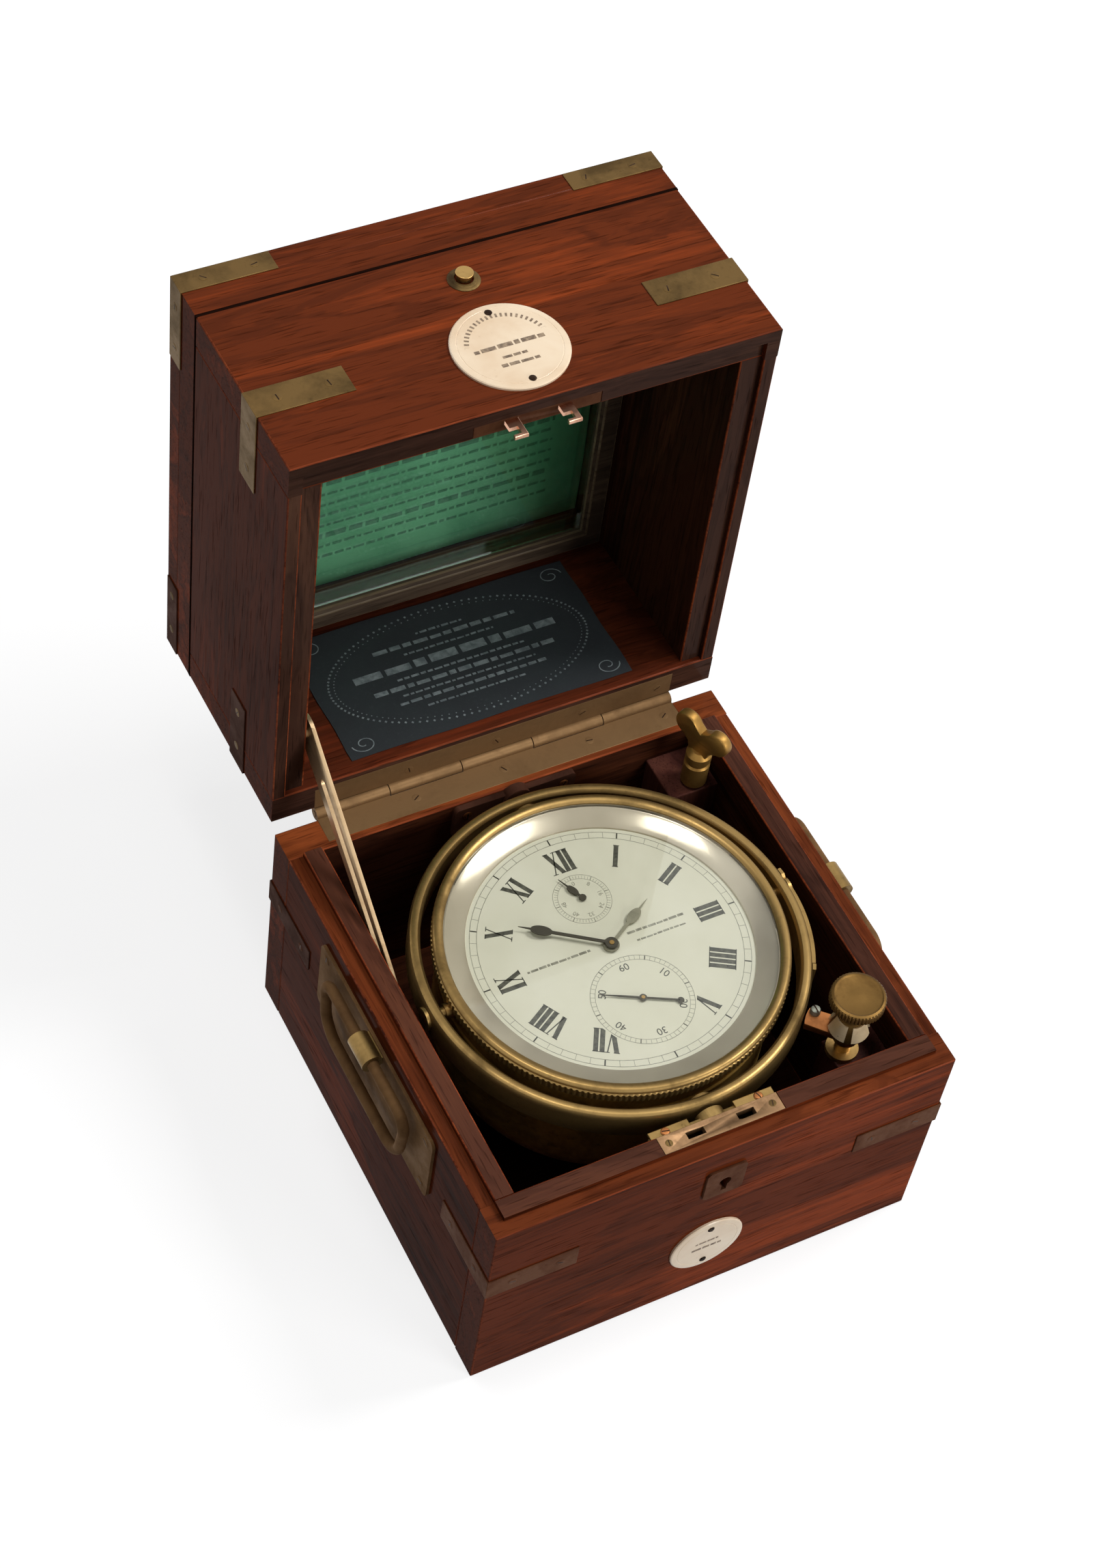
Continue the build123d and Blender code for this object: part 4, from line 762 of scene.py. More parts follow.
profile = [(AXIS, 101.0), (60.7, 101.0), (60.7, 102.0), (60.3, 102.4), (AXIS, 102.4)]
piece("dial_glass", lathe(profile, 128), "bowl_body", watch_glass, smooth=30,
      replaces=["bezel_glass"])

# %% [markdown]
# The seconds hand has a thin tail with a round weight, which balances it on its arbor. It is drawn
# pointing up, and turned with the hand.

# %% Counterpoise of the seconds hand
SECONDS = (0, -24.5)
SECONDS_HAND_TURN = 297
TAIL_THICKNESS = 0.3
tail = bmesh.new()
prism(tail, ((-0.22, -13.2), (0.22, -13.2), (0.22, -3.0), (-0.22, -3.0)), 0, TAIL_THICKNESS)
prism(tail, round_corners(24, 1.25, (0, -13.5)), 0, TAIL_THICKNESS)
hand_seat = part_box("seconds_hand")[0][2] / MM
piece("seconds_hand_counterpoise", tail, "seconds_arbor", blued_steel,
      place=placed((*SECONDS, hand_seat), -SECONDS_HAND_TURN, "Z"))

# %% [markdown]
# The gimbal ring is cast and turned, with a rounded top that catches the light. The heads of its pivots
# show on its outside, and a curved flat spring is fixed to it for the transit lock. The spring follows
# the ring, so it is a row of small oblongs set along an arc and skinned.

# %% Gimbal ring with its pivots and spring
profile = [(68.5, 88.7), (69.2, 88.0), (72.3, 88.0), (73.0, 88.7), (73.0, 97.2), (72.7, 98.5)]
profile += [(72.2, 99.3), (71.5, 99.75), (70.9, 99.85), (70.2, 99.85), (69.5, 99.7), (69.0, 99.3)]
profile += [(68.5, 98.6)]
piece("gimbal_ring_turned", lathe(profile, 256), "ring", ring_brass, smooth=25,
      replaces=["gimbal_ring"])

heads = bmesh.new()
for side in SIDES:
    head = lathe([(AXIS, 0.0), (3.6, 0.0), (3.6, 0.7), (3.2, 1.3), (2.2, 1.6), (AXIS, 1.7)], 40)
    head.transform(placed((side * 72.8, 0, PIVOT_HEIGHT), side * 90, "Y"))
    add_to(heads, head)
piece("ring_pivot_heads", heads, "ring", bright_brass, smooth=35)

SPRING_START, SPRING_END, SPRING_STEPS = -31, 5, 36
SPRING_INSIDE, SPRING_OUTSIDE, SPRING_LIFT = 72.9, 74.1, 0.4
SPRING_HALF, FOOT_HALF, FOOT_SHARE = 3.4, 4.6, 0.08
spring = bmesh.new()
rows = []
for step in range(SPRING_STEPS + 1):
    share = step / SPRING_STEPS
    angle = math.radians(SPRING_START + (SPRING_END - SPRING_START) * share)
    half = SPRING_HALF if min(share, 1 - share) > FOOT_SHARE else FOOT_HALF
    outside = SPRING_OUTSIDE + SPRING_LIFT * math.sin(math.pi * share)
    corners = ((SPRING_INSIDE, -half), (outside, -half), (outside, half), (SPRING_INSIDE, half))
    spots = [(*polar((0, 0), reach, angle), PIVOT_HEIGHT + lift) for reach, lift in corners]
    rows.append([spring.verts.new([c * MM for c in spot]) for spot in spots])
skin(spring, rows)
piece("ring_spring", spring, "ring", ring_brass, smooth=40)


# %% [markdown]
# ## Marks on the dial
#
# Sixty ticks, sixty more for the seconds, and a scale for the power reserve are one idea: a small bar,
# repeated round a circle. A Geometry Nodes tree says it once. It puts a bar at each point of a circle and
# turns it to face the middle. The result is taken as a plain mesh, and the modifier goes with the object
# that held it.

# %% A Geometry Nodes tree in a few lines
class Tree:
    """A Geometry Nodes tree with named inputs and one geometry as its result."""

    def __init__(self, name, **inputs):
        self.group = bpy.data.node_groups.new(name, "GeometryNodeTree")
        self.group.interface.new_socket("Geometry", in_out="OUTPUT", socket_type="NodeSocketGeometry")
        for title, kind in inputs.items():
            self.group.interface.new_socket(title, in_out="INPUT", socket_type=f"NodeSocket{kind}")
        self.given, self.result = self.add("NodeGroupInput"), self.add("NodeGroupOutput")

    def add(self, kind, values=None, **settings):
        made = self.group.nodes.new(kind)
        for name, value in settings.items():
            setattr(made, name, value)
        for name, value in (values or {}).items():
            made.inputs[name].default_value = value
        return made

    def wire(self, *links):
        """Link sockets. Each link is a node, its output, the next node and that one's input."""
        for start, output, end, socket in links:
            self.group.links.new(start.outputs[output], end.inputs[socket])


def bars_tree(material):
    """Bars round a circle, with Count, Radius and Bar as inputs."""
    tree = Tree("bars_round_a_circle", Count="Int", Radius="Float", Bar="Vector")
    circle, bar = tree.add("GeometryNodeMeshCircle"), tree.add("GeometryNodeMeshCube")
    here, split = tree.add("GeometryNodeInputPosition"), tree.add("ShaderNodeSeparateXYZ")
    turn, join = tree.add("ShaderNodeMath", operation="ARCTAN2"), tree.add("ShaderNodeCombineXYZ")
    spread, real = tree.add("GeometryNodeInstanceOnPoints"), tree.add("GeometryNodeRealizeInstances")
    paint = tree.add("GeometryNodeSetMaterial", {"Material": material})
    tree.wire(
        (tree.given, "Count", circle, "Vertices"), (tree.given, "Radius", circle, "Radius"),
        (tree.given, "Bar", bar, "Size"), (circle, "Mesh", spread, "Points"),
        (bar, "Mesh", spread, "Instance"), (here, 0, split, 0), (split, "Y", turn, 0),
        (split, "X", turn, 1), (turn, 0, join, "Z"), (join, 0, spread, "Rotation"),
        (spread, "Instances", real, 0), (real, 0, paint, "Geometry"), (paint, 0, tree.result, 0),
    )
    return tree.group


def plain_mesh(name, group, values, source=None):
    """Run a tree on an empty mesh or on a source mesh, and give back the result as a bmesh.

    Set Material puts its materials after an empty first slot, so the faces' indices step back by one.
    """
    holder = bpy.data.objects.new(name, source or bpy.data.meshes.new(name))
    bpy.context.scene.collection.objects.link(holder)
    modifier = holder.modifiers.new("tree", "NODES")
    modifier.node_group = group
    for item in group.interface.items_tree:
        if item.name in values:
            modifier[item.identifier] = values[item.name]
    graph = bpy.context.evaluated_depsgraph_get()
    data = bpy.data.meshes.new_from_object(holder.evaluated_get(graph))
    mesh = bmesh.new()
    mesh.from_mesh(data)
    empty_slots = sum(1 for material in data.materials if material is None)
    for face in mesh.faces:
        face.material_index = max(face.material_index - empty_slots, 0)
    bpy.data.objects.remove(holder)
    bpy.data.meshes.remove(data)
    return mesh


# %% Tracks of the dial and its two small circles
INK_RISE = 0.04
INK_MIDDLE = DIAL_TOP + INK_RISE / 2
MIDDLE = (0, 0)
RESERVE = (0, 22.5)
ink_bars, faint_bars = bars_tree(dial_ink), bars_tree(faint_ink)


def track(name, centre, count, radius, long, wide, group=faint_bars, material=faint_ink):
    values = {"Count": count, "Radius": radius * MM, "Bar": (long * MM, wide * MM, INK_RISE * MM)}
    mesh = plain_mesh(name, group, values)
    piece(name, mesh, "bowl_body", material, place=placed((*centre, INK_MIDDLE)))


def circle_line(name, centre, radius, width):
    inner, outer = radius - width / 2, radius + width / 2
    low, high = DIAL_TOP, DIAL_TOP + INK_RISE
    mesh = lathe([(inner, low), (outer, low), (outer, high), (inner, high)], 128, centre)
    piece(name, mesh, "bowl_body", faint_ink)


track("minute_ticks", MIDDLE, 60, 49.6, 2.4, 0.16)
track("five_minute_marks", MIDDLE, 12, 49.6, 2.6, 0.5, ink_bars, dial_ink)
circle_line("minute_ring_outer", MIDDLE, 50.9, 0.2)
circle_line("minute_ring_inner", MIDDLE, 48.3, 0.2)
track("seconds_ticks", SECONDS, 60, 17.9, 1.6, 0.14)
track("ten_second_marks", SECONDS, 6, 17.9, 2.0, 0.36, ink_bars, dial_ink)
circle_line("seconds_ring_outer", SECONDS, 18.8, 0.2)
circle_line("seconds_ring_inner", SECONDS, 17.0, 0.16)
track("reserve_ticks", RESERVE, 56, 9.7, 1.2, 0.13)
track("eight_hour_marks", RESERVE, 8, 9.9, 1.7, 0.24)
circle_line("reserve_ring_outer", RESERVE, 10.8, 0.16)
circle_line("reserve_ring_inner", RESERVE, 9.0, 0.14)


# %% [markdown]
# ## Numerals
#
# Roman numerals on such a dial stand with their feet towards the middle. They are made of broad and fine
# strokes with short serifs, so each letter is a few thin prisms. Two of them are cut by the circle of the
# seconds, and where the VI would stand there is only that circle.

# %% Strokes of the Roman numerals
LETTER_WIDTH = {"I": 2.3, "V": 4.9, "X": 4.9}
BROAD, FINE, SPREAD = 1.75, 0.45, 1.65
SERIF, FINE_SERIF, CROSS_SERIF = 2.2, 1.6, 2.0
SERIF_HALF_HEIGHT = 0.17
V_FOOT_SHIFT = 0.15


def stroke(mesh, start, end, width):
    """A bar between two points on the numeral's own plane, cut level at both ends."""
    half = width / 2
    outline = ((start[0] - half, start[1]), (start[0] + half, start[1]),
               (end[0] + half, end[1]), (end[0] - half, end[1]))
    prism(mesh, outline, 0, INK_RISE)


def numeral(text, radius, height):
    """One numeral, drawn upright at the top of the dial. Its serifs are (across, up, width)."""
    mesh = bmesh.new()
    low, high = radius - height / 2, radius + height / 2
    across = -sum(LETTER_WIDTH[letter] for letter in text) / 2
    for letter in text:
        middle = across + LETTER_WIDTH[letter] / 2
        across += LETTER_WIDTH[letter]
        left, right = middle - SPREAD, middle + SPREAD
        if letter == "I":
            stroke(mesh, (middle, low), (middle, high), BROAD)
            serifs = [(middle, low, SERIF), (middle, high, SERIF)]
        elif letter == "V":
            stroke(mesh, (middle + V_FOOT_SHIFT, low), (left, high), BROAD)
            stroke(mesh, (middle + V_FOOT_SHIFT, low), (right, high), FINE)
            serifs = [(left, high, SERIF), (right, high, FINE_SERIF)]
        else:
            stroke(mesh, (right, low), (left, high), BROAD)
            stroke(mesh, (left, low), (right, high), FINE)
            serifs = [(x, y, CROSS_SERIF) for x in (left, right) for y in (low, high)]
        for x, y, width in serifs:
            stroke(mesh, (x, y - SERIF_HALF_HEIGHT), (x, y + SERIF_HALF_HEIGHT), width)
    return mesh


# %% The ring of hours
HOURS = ("XII", "I", "II", "III", "IIII", "V", "VI", "VII", "VIII", "IX", "X", "XI")
CUT_BY_SECONDS = ("V", "VII")
HOURS_RADIUS, HOURS_HEIGHT = 40.4, 9.6
SECONDS_CLEAR = 19.4
HOUR_TURN = -30
all_hours = bmesh.new()
for index, text in enumerate(HOURS):
    if text == "VI":
        continue
    letters = numeral(text, HOURS_RADIUS, HOURS_HEIGHT)
    turn = Matrix.Rotation(math.radians(HOUR_TURN * index), 4, "Z")
    letters.transform(placed((0, 0, DIAL_TOP)) @ turn)
    if text in CUT_BY_SECONDS:
        middle = turn @ Vector((0, HOURS_RADIUS, 0))
        away = Vector((middle.x - SECONDS[0], middle.y - SECONDS[1], 0)).normalized()
        edge = (Vector((*SECONDS, DIAL_TOP)) + away * SECONDS_CLEAR) * MM
        whole = letters.verts[:] + letters.edges[:] + letters.faces[:]
        cut = bmesh.ops.bisect_plane(letters, geom=whole, plane_co=edge, plane_no=away, clear_inner=True)
        rim = [item for item in cut["geom_cut"] if isinstance(item, bmesh.types.BMEdge)]
        bmesh.ops.holes_fill(letters, edges=rim, sides=0)
    add_to(all_hours, letters)
piece("hour_numerals", all_hours, "bowl_body", dial_ink)


# %% [markdown]
# The two small circles carry Arabic figures. Blender's own letters become a mesh at once, so that they
# can be placed like any other piece.

# %% Figures of the small circles
def figures(name, words, centre, radius, sweep, size, paint):
    """Small figures set round a circle from its top, each turned to stand upright on it."""
    mesh = bmesh.new()
    for index, word in enumerate(words):
        curve = bpy.data.curves.new("figure", "FONT")
        curve.body = word
        curve.size = size * MM
        curve.align_x = "CENTER"
        curve.align_y = "CENTER"
        curve.extrude = INK_RISE * MM / 2
        holder = bpy.data.objects.new("figure", curve)
        bpy.context.scene.collection.objects.link(holder)
        graph = bpy.context.evaluated_depsgraph_get()
        data = bpy.data.meshes.new_from_object(holder.evaluated_get(graph))
        turn = sweep * index / len(words)
        angle = math.radians(turn)
        spot = (centre[0] + radius * math.sin(angle), centre[1] + radius * math.cos(angle), INK_MIDDLE)
        data.transform(placed(spot, -turn, "Z"))
        mesh.from_mesh(data)
        bpy.data.objects.remove(holder)
        bpy.data.meshes.remove(data)
    piece(name, mesh, "bowl_body", paint)


figures("seconds_figures", ["60", "10", "20", "30", "40", "50"], SECONDS, 14.4, 360, 4.0, dial_ink)
figures("reserve_figures", ["0", "8", "16", "24", "32", "40", "48"], RESERVE, 7.2, 315, 2.4, faint_ink)


# %% [markdown]
# ## Screws and pins
#
# Small screws hold every strap, plate and bracket. One turned head with a slot is enough, made one unit
# wide and high. A second Geometry Nodes tree sets it on each given point, stretches it to the screw's
# radius and rise, turns its axis to that point's direction, and gives its slot a random turn from a fixed
# seed.

# %% A screw head and the tree that sets it
HEAD_SEGMENTS = 20


def screw_head():
    """A shallow domed head of radius 1 and rise 1. Its slot is a thin bar just proud of the dome, with
    faces marked 'groove' to be painted dark as the shade of a slot.
    """
    mesh = bmesh.new()
    groove_mark = mesh.faces.layers.bool.new("groove")
    skin(mesh, [[mesh.verts.new((*corner, height)) for corner in round_corners(HEAD_SEGMENTS, reach)]
                for reach, height in ((1, 0.0), (1, 0.35), (0.82, 0.85), (0.45, 1))])
    groove = box(mesh, (-0.8, -0.13, 0.55), (0.8, 0.13, 1.02), unit=1)
    for face in {face for vert in groove for face in vert.link_faces}:
        face[groove_mark] = True
    data = bpy.data.meshes.new("screw_head")
    mesh.to_mesh(data)
    mesh.free()
    head = bpy.data.objects.new("screw_head", data)
    bpy.context.scene.collection.objects.link(head)
    return head


def screws_tree(head, material):
    """One head on each point, along the attribute 'facing', its slot turned at random."""
    tree = Tree("screws_on_points", Geometry="Geometry", Radius="Float", Rise="Float", Seed="Int")
    model = tree.add("GeometryNodeObjectInfo", {"Object": head})
    facing = tree.add("GeometryNodeInputNamedAttribute", {"Name": "facing"}, data_type="FLOAT_VECTOR")
    groove = tree.add("GeometryNodeInputNamedAttribute", {"Name": "groove"}, data_type="BOOLEAN")
    aim = tree.add("FunctionNodeAlignRotationToVector", axis="Z")
    chance = tree.add("FunctionNodeRandomValue", {3: math.pi}, data_type="FLOAT")
    twist = tree.add("FunctionNodeAxisAngleToRotation", {"Axis": (0, 0, 1)})
    turned = tree.add("FunctionNodeRotateRotation", rotation_space="LOCAL")
    size, spread = tree.add("ShaderNodeCombineXYZ"), tree.add("GeometryNodeInstanceOnPoints")
    real = tree.add("GeometryNodeRealizeInstances")
    paint = tree.add("GeometryNodeSetMaterial", {"Material": material})
    # The slot's faces are painted dark: a painted shade, since no groove is cut.
    paint_slot = tree.add("GeometryNodeSetMaterial", {"Material": dark_pin_and_painted_slot_shade})
    tree.wire(
        (tree.given, "Geometry", spread, "Points"), (model, "Geometry", spread, "Instance"),
        (facing, "Attribute", aim, "Vector"), (tree.given, "Seed", chance, "Seed"),
        (chance, 1, twist, "Angle"), (aim, "Rotation", turned, "Rotation"),
        (twist, "Rotation", turned, "Rotate By"), (turned, 0, spread, "Rotation"),
        (tree.given, "Radius", size, "X"), (tree.given, "Radius", size, "Y"),
        (tree.given, "Rise", size, "Z"), (size, 0, spread, "Scale"), (spread, "Instances", real, 0),
        (real, 0, paint, "Geometry"), (paint, 0, paint_slot, "Geometry"),
        (groove, "Attribute", paint_slot, "Selection"), (paint_slot, 0, tree.result, 0),
    )
    return tree.group


def screws(name, spots, body, material, radius, rise, seed, place=None):
    """Screw heads on a list of (point, direction) pairs."""
    head = screw_head()
    points = bpy.data.meshes.new(name)
    points.from_pydata([[c * MM for c in point] for point, _ in spots], [], [])
    facing = points.attributes.new("facing", "FLOAT_VECTOR", "POINT")
    for item, (_, direction) in zip(facing.data, spots):
        item.vector = direction
    sizes = {"Radius": radius * MM, "Rise": rise * MM, "Seed": seed}
    mesh = plain_mesh(name, screws_tree(head, material), sizes, points)
    bpy.data.objects.remove(head)
    piece(name, mesh, body, [material, dark_pin_and_painted_slot_shade], smooth=35, place=place)


# %% Screws of the straps, plates and brackets
STRAP_FACE = CASE_HALF + 0.5
STRAP_INSETS = (9.5, 28)
HINGE_SCREW_ROW = 86.5
HANDLE_PLATE_FACE = 92.2
BRACKET_FACE = 75.6
LOCK_PLATE_TOP = 100.2


def strap_spots(height):
    """Two screws in each leg of four corner straps at one height."""
    spots = []
    for sx in SIDES:
        for sy in SIDES:
            for inset in STRAP_INSETS:
                along_edge = CASE_HALF - inset
                spots.append(((sx * along_edge, sy * STRAP_FACE, height), (0, sy, 0)))
                spots.append(((sx * STRAP_FACE, sy * along_edge, height), (sx, 0, 0)))
    return spots


def hinge_spots(height, direction):
    return [((x, HINGE_SCREW_ROW, height), direction) for x in (-68, -36, 0, 36, 68)]


plate_spots = [((side * HANDLE_PLATE_FACE, y, z), (side, 0, 0))
               for side in SIDES for y in (-41, 41) for z in (59.5, 85.5)]
bracket_spots = [((x, side * BRACKET_FACE, z), (0, -side, 0))
                 for side in SIDES for x in (-20, 20) for z in (84.5, 92.5)]
lock_spots = [((x, -81.7, LOCK_PLATE_TOP), UP) for x in (-20.5, 20.5)]
for name, spots, body, material, slot, radius, rise, seed in (
    ("base_strap_screws", strap_spots(64.0), "base", dull_brass, "aged_brass", 1.7, 0.14, 3),
    ("mid_strap_screws", strap_spots(129.6), "mid_lid", strap_brass, "aged_brass", 1.7, 0.14, 5),
    ("top_strap_screws", strap_spots(190.3), "top_lid", strap_brass, "aged_brass", 1.6, 0.14, 7),
    ("handle_plate_screws", plate_spots, "base", plate_olive, "aged_brass", 2.0, 0.25, 11),
    ("hinge_base_screws", hinge_spots(98.0, UP), "base", hinge_brass, "aged_brass", 1.7, 0.1, 13),
    ("hinge_lid_screws", hinge_spots(98.6, DOWN), "mid_lid", hinge_brass, "aged_brass", 1.7, 0.1, 17),
    ("lock_plate_screws", lock_spots, "base", aged_brass, "aged_brass", 1.4, 0.12, 19),
    ("bracket_screws", bracket_spots, "base", copper_brass, "bright_brass", 2.0, 0.5, 23),
):
    on_lid = body in ("mid_lid", "top_lid")
    screws(name, spots, body, material, radius, rise, seed, lid_open if on_lid else None)


# %% [markdown]
# Each pale disc is held by two dark pins, one above the other. A fine engraved line runs round near its
# rim. The disc is turned lying down, like the bowl, and then stood up against the front.

# %% Discs with their pins
DISC_FACE = -CASE_HALF - PLAQUE_PROUD
PIN_RADIUS, PIN_RISE, PIN_SEED = 1.35, 0.4, 29


def front_disc(name, node, radius, height, pins, body, place):
    edge = ((0, 0.0), (0, 0.7), (0.35, 1.02), (0.8, PLAQUE_PROUD))
    line = ((2.3, PLAQUE_PROUD), (2.42, 1.02), (2.62, 1.02), (2.74, PLAQUE_PROUD))
    profile = [(AXIS, 0.0)] + [(radius - inset, up) for inset, up in edge + line] + [(AXIS, PLAQUE_PROUD)]
    piece(name, lathe(profile, 96), body, ivory.material, smooth=30,
          place=place @ placed((0, -CASE_HALF, height), 90), replaces=[node])
    spots = [((0, DISC_FACE, height + side * pins), FRONT) for side in SIDES]
    screws(f"{name}_pins", spots, body, dark_pin_and_painted_slot_shade, PIN_RADIUS, PIN_RISE, PIN_SEED, place)


BASE_DISC_HEIGHT, LID_DISC_HEIGHT = 33.0, 123.6
standing = Matrix.Identity(4)
front_disc("base_disc", "base_plaque", 14.7, BASE_DISC_HEIGHT, 10.6, "base", standing)
front_disc("lid_disc", "mid_plaque", 20.5, LID_DISC_HEIGHT, 16.6, "mid_lid", lid_open)

# %% [markdown]
# ## Push button, key and transit lock
#
# The button stands in a small turned rose. The transit lock has a milled knob on a stud, over an arm that
# would hold the gimbal ring still on a journey. The knob's skirt has four pads with slots between them,
# very pale to paint the highlights they catch, each a patch of a cone, and so a row of cross-sections
# again.

# %% Rose round the push button
BUTTON_HEIGHT = 158.6
profile = [(3.4, 0.0), (5.8, 0.0), (5.8, 0.25), (5.3, 0.55), (4.7, 0.62), (4.4, 0.9)]
profile += [(3.9, 1.0), (3.4, 1.0)]
piece("button_rose", lathe(profile, 64), "mid_lid", aged_brass, smooth=30,
      place=lid_open @ placed((0, -CASE_HALF, BUTTON_HEIGHT), 90))

# %% Knob of the transit lock
POST = (62.5, -63.5)
KNOB_TEETH, STEPS_PER_KNOB_TOOTH, KNOB_GROOVE = 48, 3, 0.4


def knob_edge(index):
    """One step of each tooth is a groove."""
    return 0.0 if index % STEPS_PER_KNOB_TOOTH else -KNOB_GROOVE


profile = [(2.05, 96.2), (6.6, 96.2), (7.0, 96.7), (7.0, 97.6), (4.6, 104.4), (4.2, 105.4), (4.2, 110.6)]
profile += [(5.2, 111.6), (7.6, 113.1), (9.6, 113.5), (10.1, 113.9, 1), (10.1, 117.2, 1), (9.7, 117.7)]
profile += [(8.9, 118.0), (8.5, 117.8), (8.1, 117.7), (2.6, 117.85), (AXIS, 117.9), (AXIS, 115.7)]
profile += [(2.05, 115.7)]
knob = lathe(profile, KNOB_TEETH * STEPS_PER_KNOB_TOOTH, POST, knob_edge)
piece("transit_knob_turned", knob, "transit_knob", knob_brass, smooth=28,
      replaces=["transit_lock_knob"])

# %% Four pads on the skirt of the knob, pale as painted highlights, with slots between them
PAD_START, PAD_SWEEP, PAD_STEPS = -114.7, 70, 6
PAD_SECTION = ((7.05, 97.9), (7.6, 98.0925), (5.3, 104.3925), (4.75, 104.2))
pads = bmesh.new()
for quarter in range(4):
    rows = []
    for step in range(PAD_STEPS + 1):
        angle = math.radians(90 * quarter + PAD_START + PAD_SWEEP * step / PAD_STEPS)
        spots = [(*polar(POST, radius, angle), height) for radius, height in PAD_SECTION]
        rows.append([pads.verts.new([c * MM for c in spot]) for spot in spots])
    skin(pads, rows)
piece("transit_knob_pads", pads, "transit_knob", highlight_pad_brass, smooth=30)

# %% Larger screws, in the lips of the bracket and at the end of the arm
lip_spots = [((side * 18.5, -75.9, 97.5), UP) for side in SIDES]
screws("bracket_lip_screws", lip_spots, "base", copper_brass, 1.7, 0.6, 37)
screws("arm_stop_screw", [((55.3, -52.5, 96.0), UP)], "transit_arm", soft_steel, 2.0, 2.4, 31)

# %% [markdown]
# The winding key stands upside down in a block, so its two fat lobes are on top. The stem is turned. The
# lobes are one flat outline of two arcs, and layers that shrink towards both faces give it cushioned
# edges.

# %% Winding key
KEY = (69.5, 62.5)
KEY_TURN = -69
LOBE_STEPS = 20
profile = [(AXIS, 50.0), (3.4, 50.0), (3.4, 86.6), (4.6, 87.0), (5.0, 87.5), (5.0, 97.6), (4.3, 98.4)]
profile += [(4.3, 99.4), (5.0, 100.2), (5.0, 103.2), (4.2, 104.4), (3.2, 105.2), (AXIS, 105.4)]
piece("winding_key_stem", lathe(profile, 64, KEY), "key", key_brass, smooth=30,
      replaces=["winding_key"])

lobe_right = arc(7.3, 115.0, 5.0, -78, 150, LOBE_STEPS)
lobe_left = arc(-7.3, 115.0, 5.0, 30, 258, LOBE_STEPS)
outline = [(-4.0, 103.4), (4.0, 103.4), (5.2, 107.4)] + lobe_right
outline += [(0.0, 115.4)] + lobe_left + [(-5.2, 107.4)]
lobe_middle = Vector((0, 111.0))
wings = bmesh.new()
rows = []
for depth, inset in ((-2.0, 0.6), (-1.8, 0.25), (-1.3, 0.0), (1.3, 0.0), (1.8, 0.25), (2.0, 0.6)):
    row = []
    for corner in outline:
        spot = Vector(corner) - (Vector(corner) - lobe_middle).normalized() * inset
        row.append(wings.verts.new((spot.x * MM, depth * MM, spot.y * MM)))
    rows.append(row)
skin(wings, rows)
piece("winding_key_wings", wings, "key", key_brass, smooth=40,
      place=placed((*KEY, 0), KEY_TURN, "Z"))


# %% [markdown]
# ## Paper labels
#
# A green card lies behind the glass, in the top tier, and a black one is pasted on the back wall of the
# middle tier. Both carry rules of uneven length, cut into short dashes, and the black one has an oval
# border as well. The small lines of the dial and the discs are made by the same function.

# %% Sheets and rules
SHEET_THICKNESS = 0.15
PRINT_LOW, PRINT_HIGH = 0.14, 0.18
PRINT_SINK = -0.13
EDGE_STEPS, EDGE_RIPPLE = 12, 0.25
DASH_LENGTH, DASH_SPREAD, SHORTEST_DASH = 1.1, 2.4, 0.6
DASH_HEIGHT, CAPITAL_RISE = 0.86, 0.28


def sheet_piece(name, width, height, place, body, material):
    """A thin sheet with slightly uneven edges."""
    mesh = bmesh.new()
    outline = []
    for side in range(4):
        for step in range(EDGE_STEPS):
            t = step / EDGE_STEPS
            ripple = EDGE_RIPPLE * math.sin(7.3 * (side * EDGE_STEPS + step))
            x, y = ((t, 0), (1, t), (1 - t, 1), (0, 1 - t))[side]
            outline.append(((x - 0.5) * width + ripple, (y - 0.5) * height + ripple))
    prism(mesh, outline, 0, SHEET_THICKNESS)
    piece(name, mesh, body, material, place=place)


def rules(name, rows, place, body, material, gap=0.9):
    """Printed lines as short dashes: rows of (x start, x end, y, height).

    The dashes differ in length, and some of them are a little taller than the rest.
    """
    mesh = bmesh.new()
    for row, (start, end, y, high) in enumerate(rows):
        spot, foot, index = start, y - high / 2, 0
        while spot < end - SHORTEST_DASH:
            long = high * (DASH_LENGTH + DASH_SPREAD * abs(math.sin(2.1 * index + 1.7 * row)))
            stop = min(spot + long, end)
            head = foot + high * (DASH_HEIGHT + CAPITAL_RISE * abs(math.sin(3.7 * index + 0.9 * row)))
            prism(mesh, ((spot, foot), (stop, foot), (stop, head), (spot, head)), PRINT_LOW, PRINT_HIGH)
            spot = stop + gap * (0.5 + 0.4 * high)
            index += 1
    piece(name, mesh, body, material, place=place)


# %% The green label, and the small lines of the dial and the discs
GREEN_LABEL_HEIGHT, GREEN_ROWS, ROW_STEP = 186.4, 23, 5.6
green_place = lid_open @ placed((0, 0, GREEN_LABEL_HEIGHT), 180)
sheet_piece("green_label", 154, 154, green_place, "top_lid", green_paper)
green_rows = [(-62, 62, 62 - ROW_STEP * row, 1.3 if row % 5 else 2.4) for row in range(GREEN_ROWS)]
rules("green_label_rules", green_rows, green_place, "top_lid", green_print)

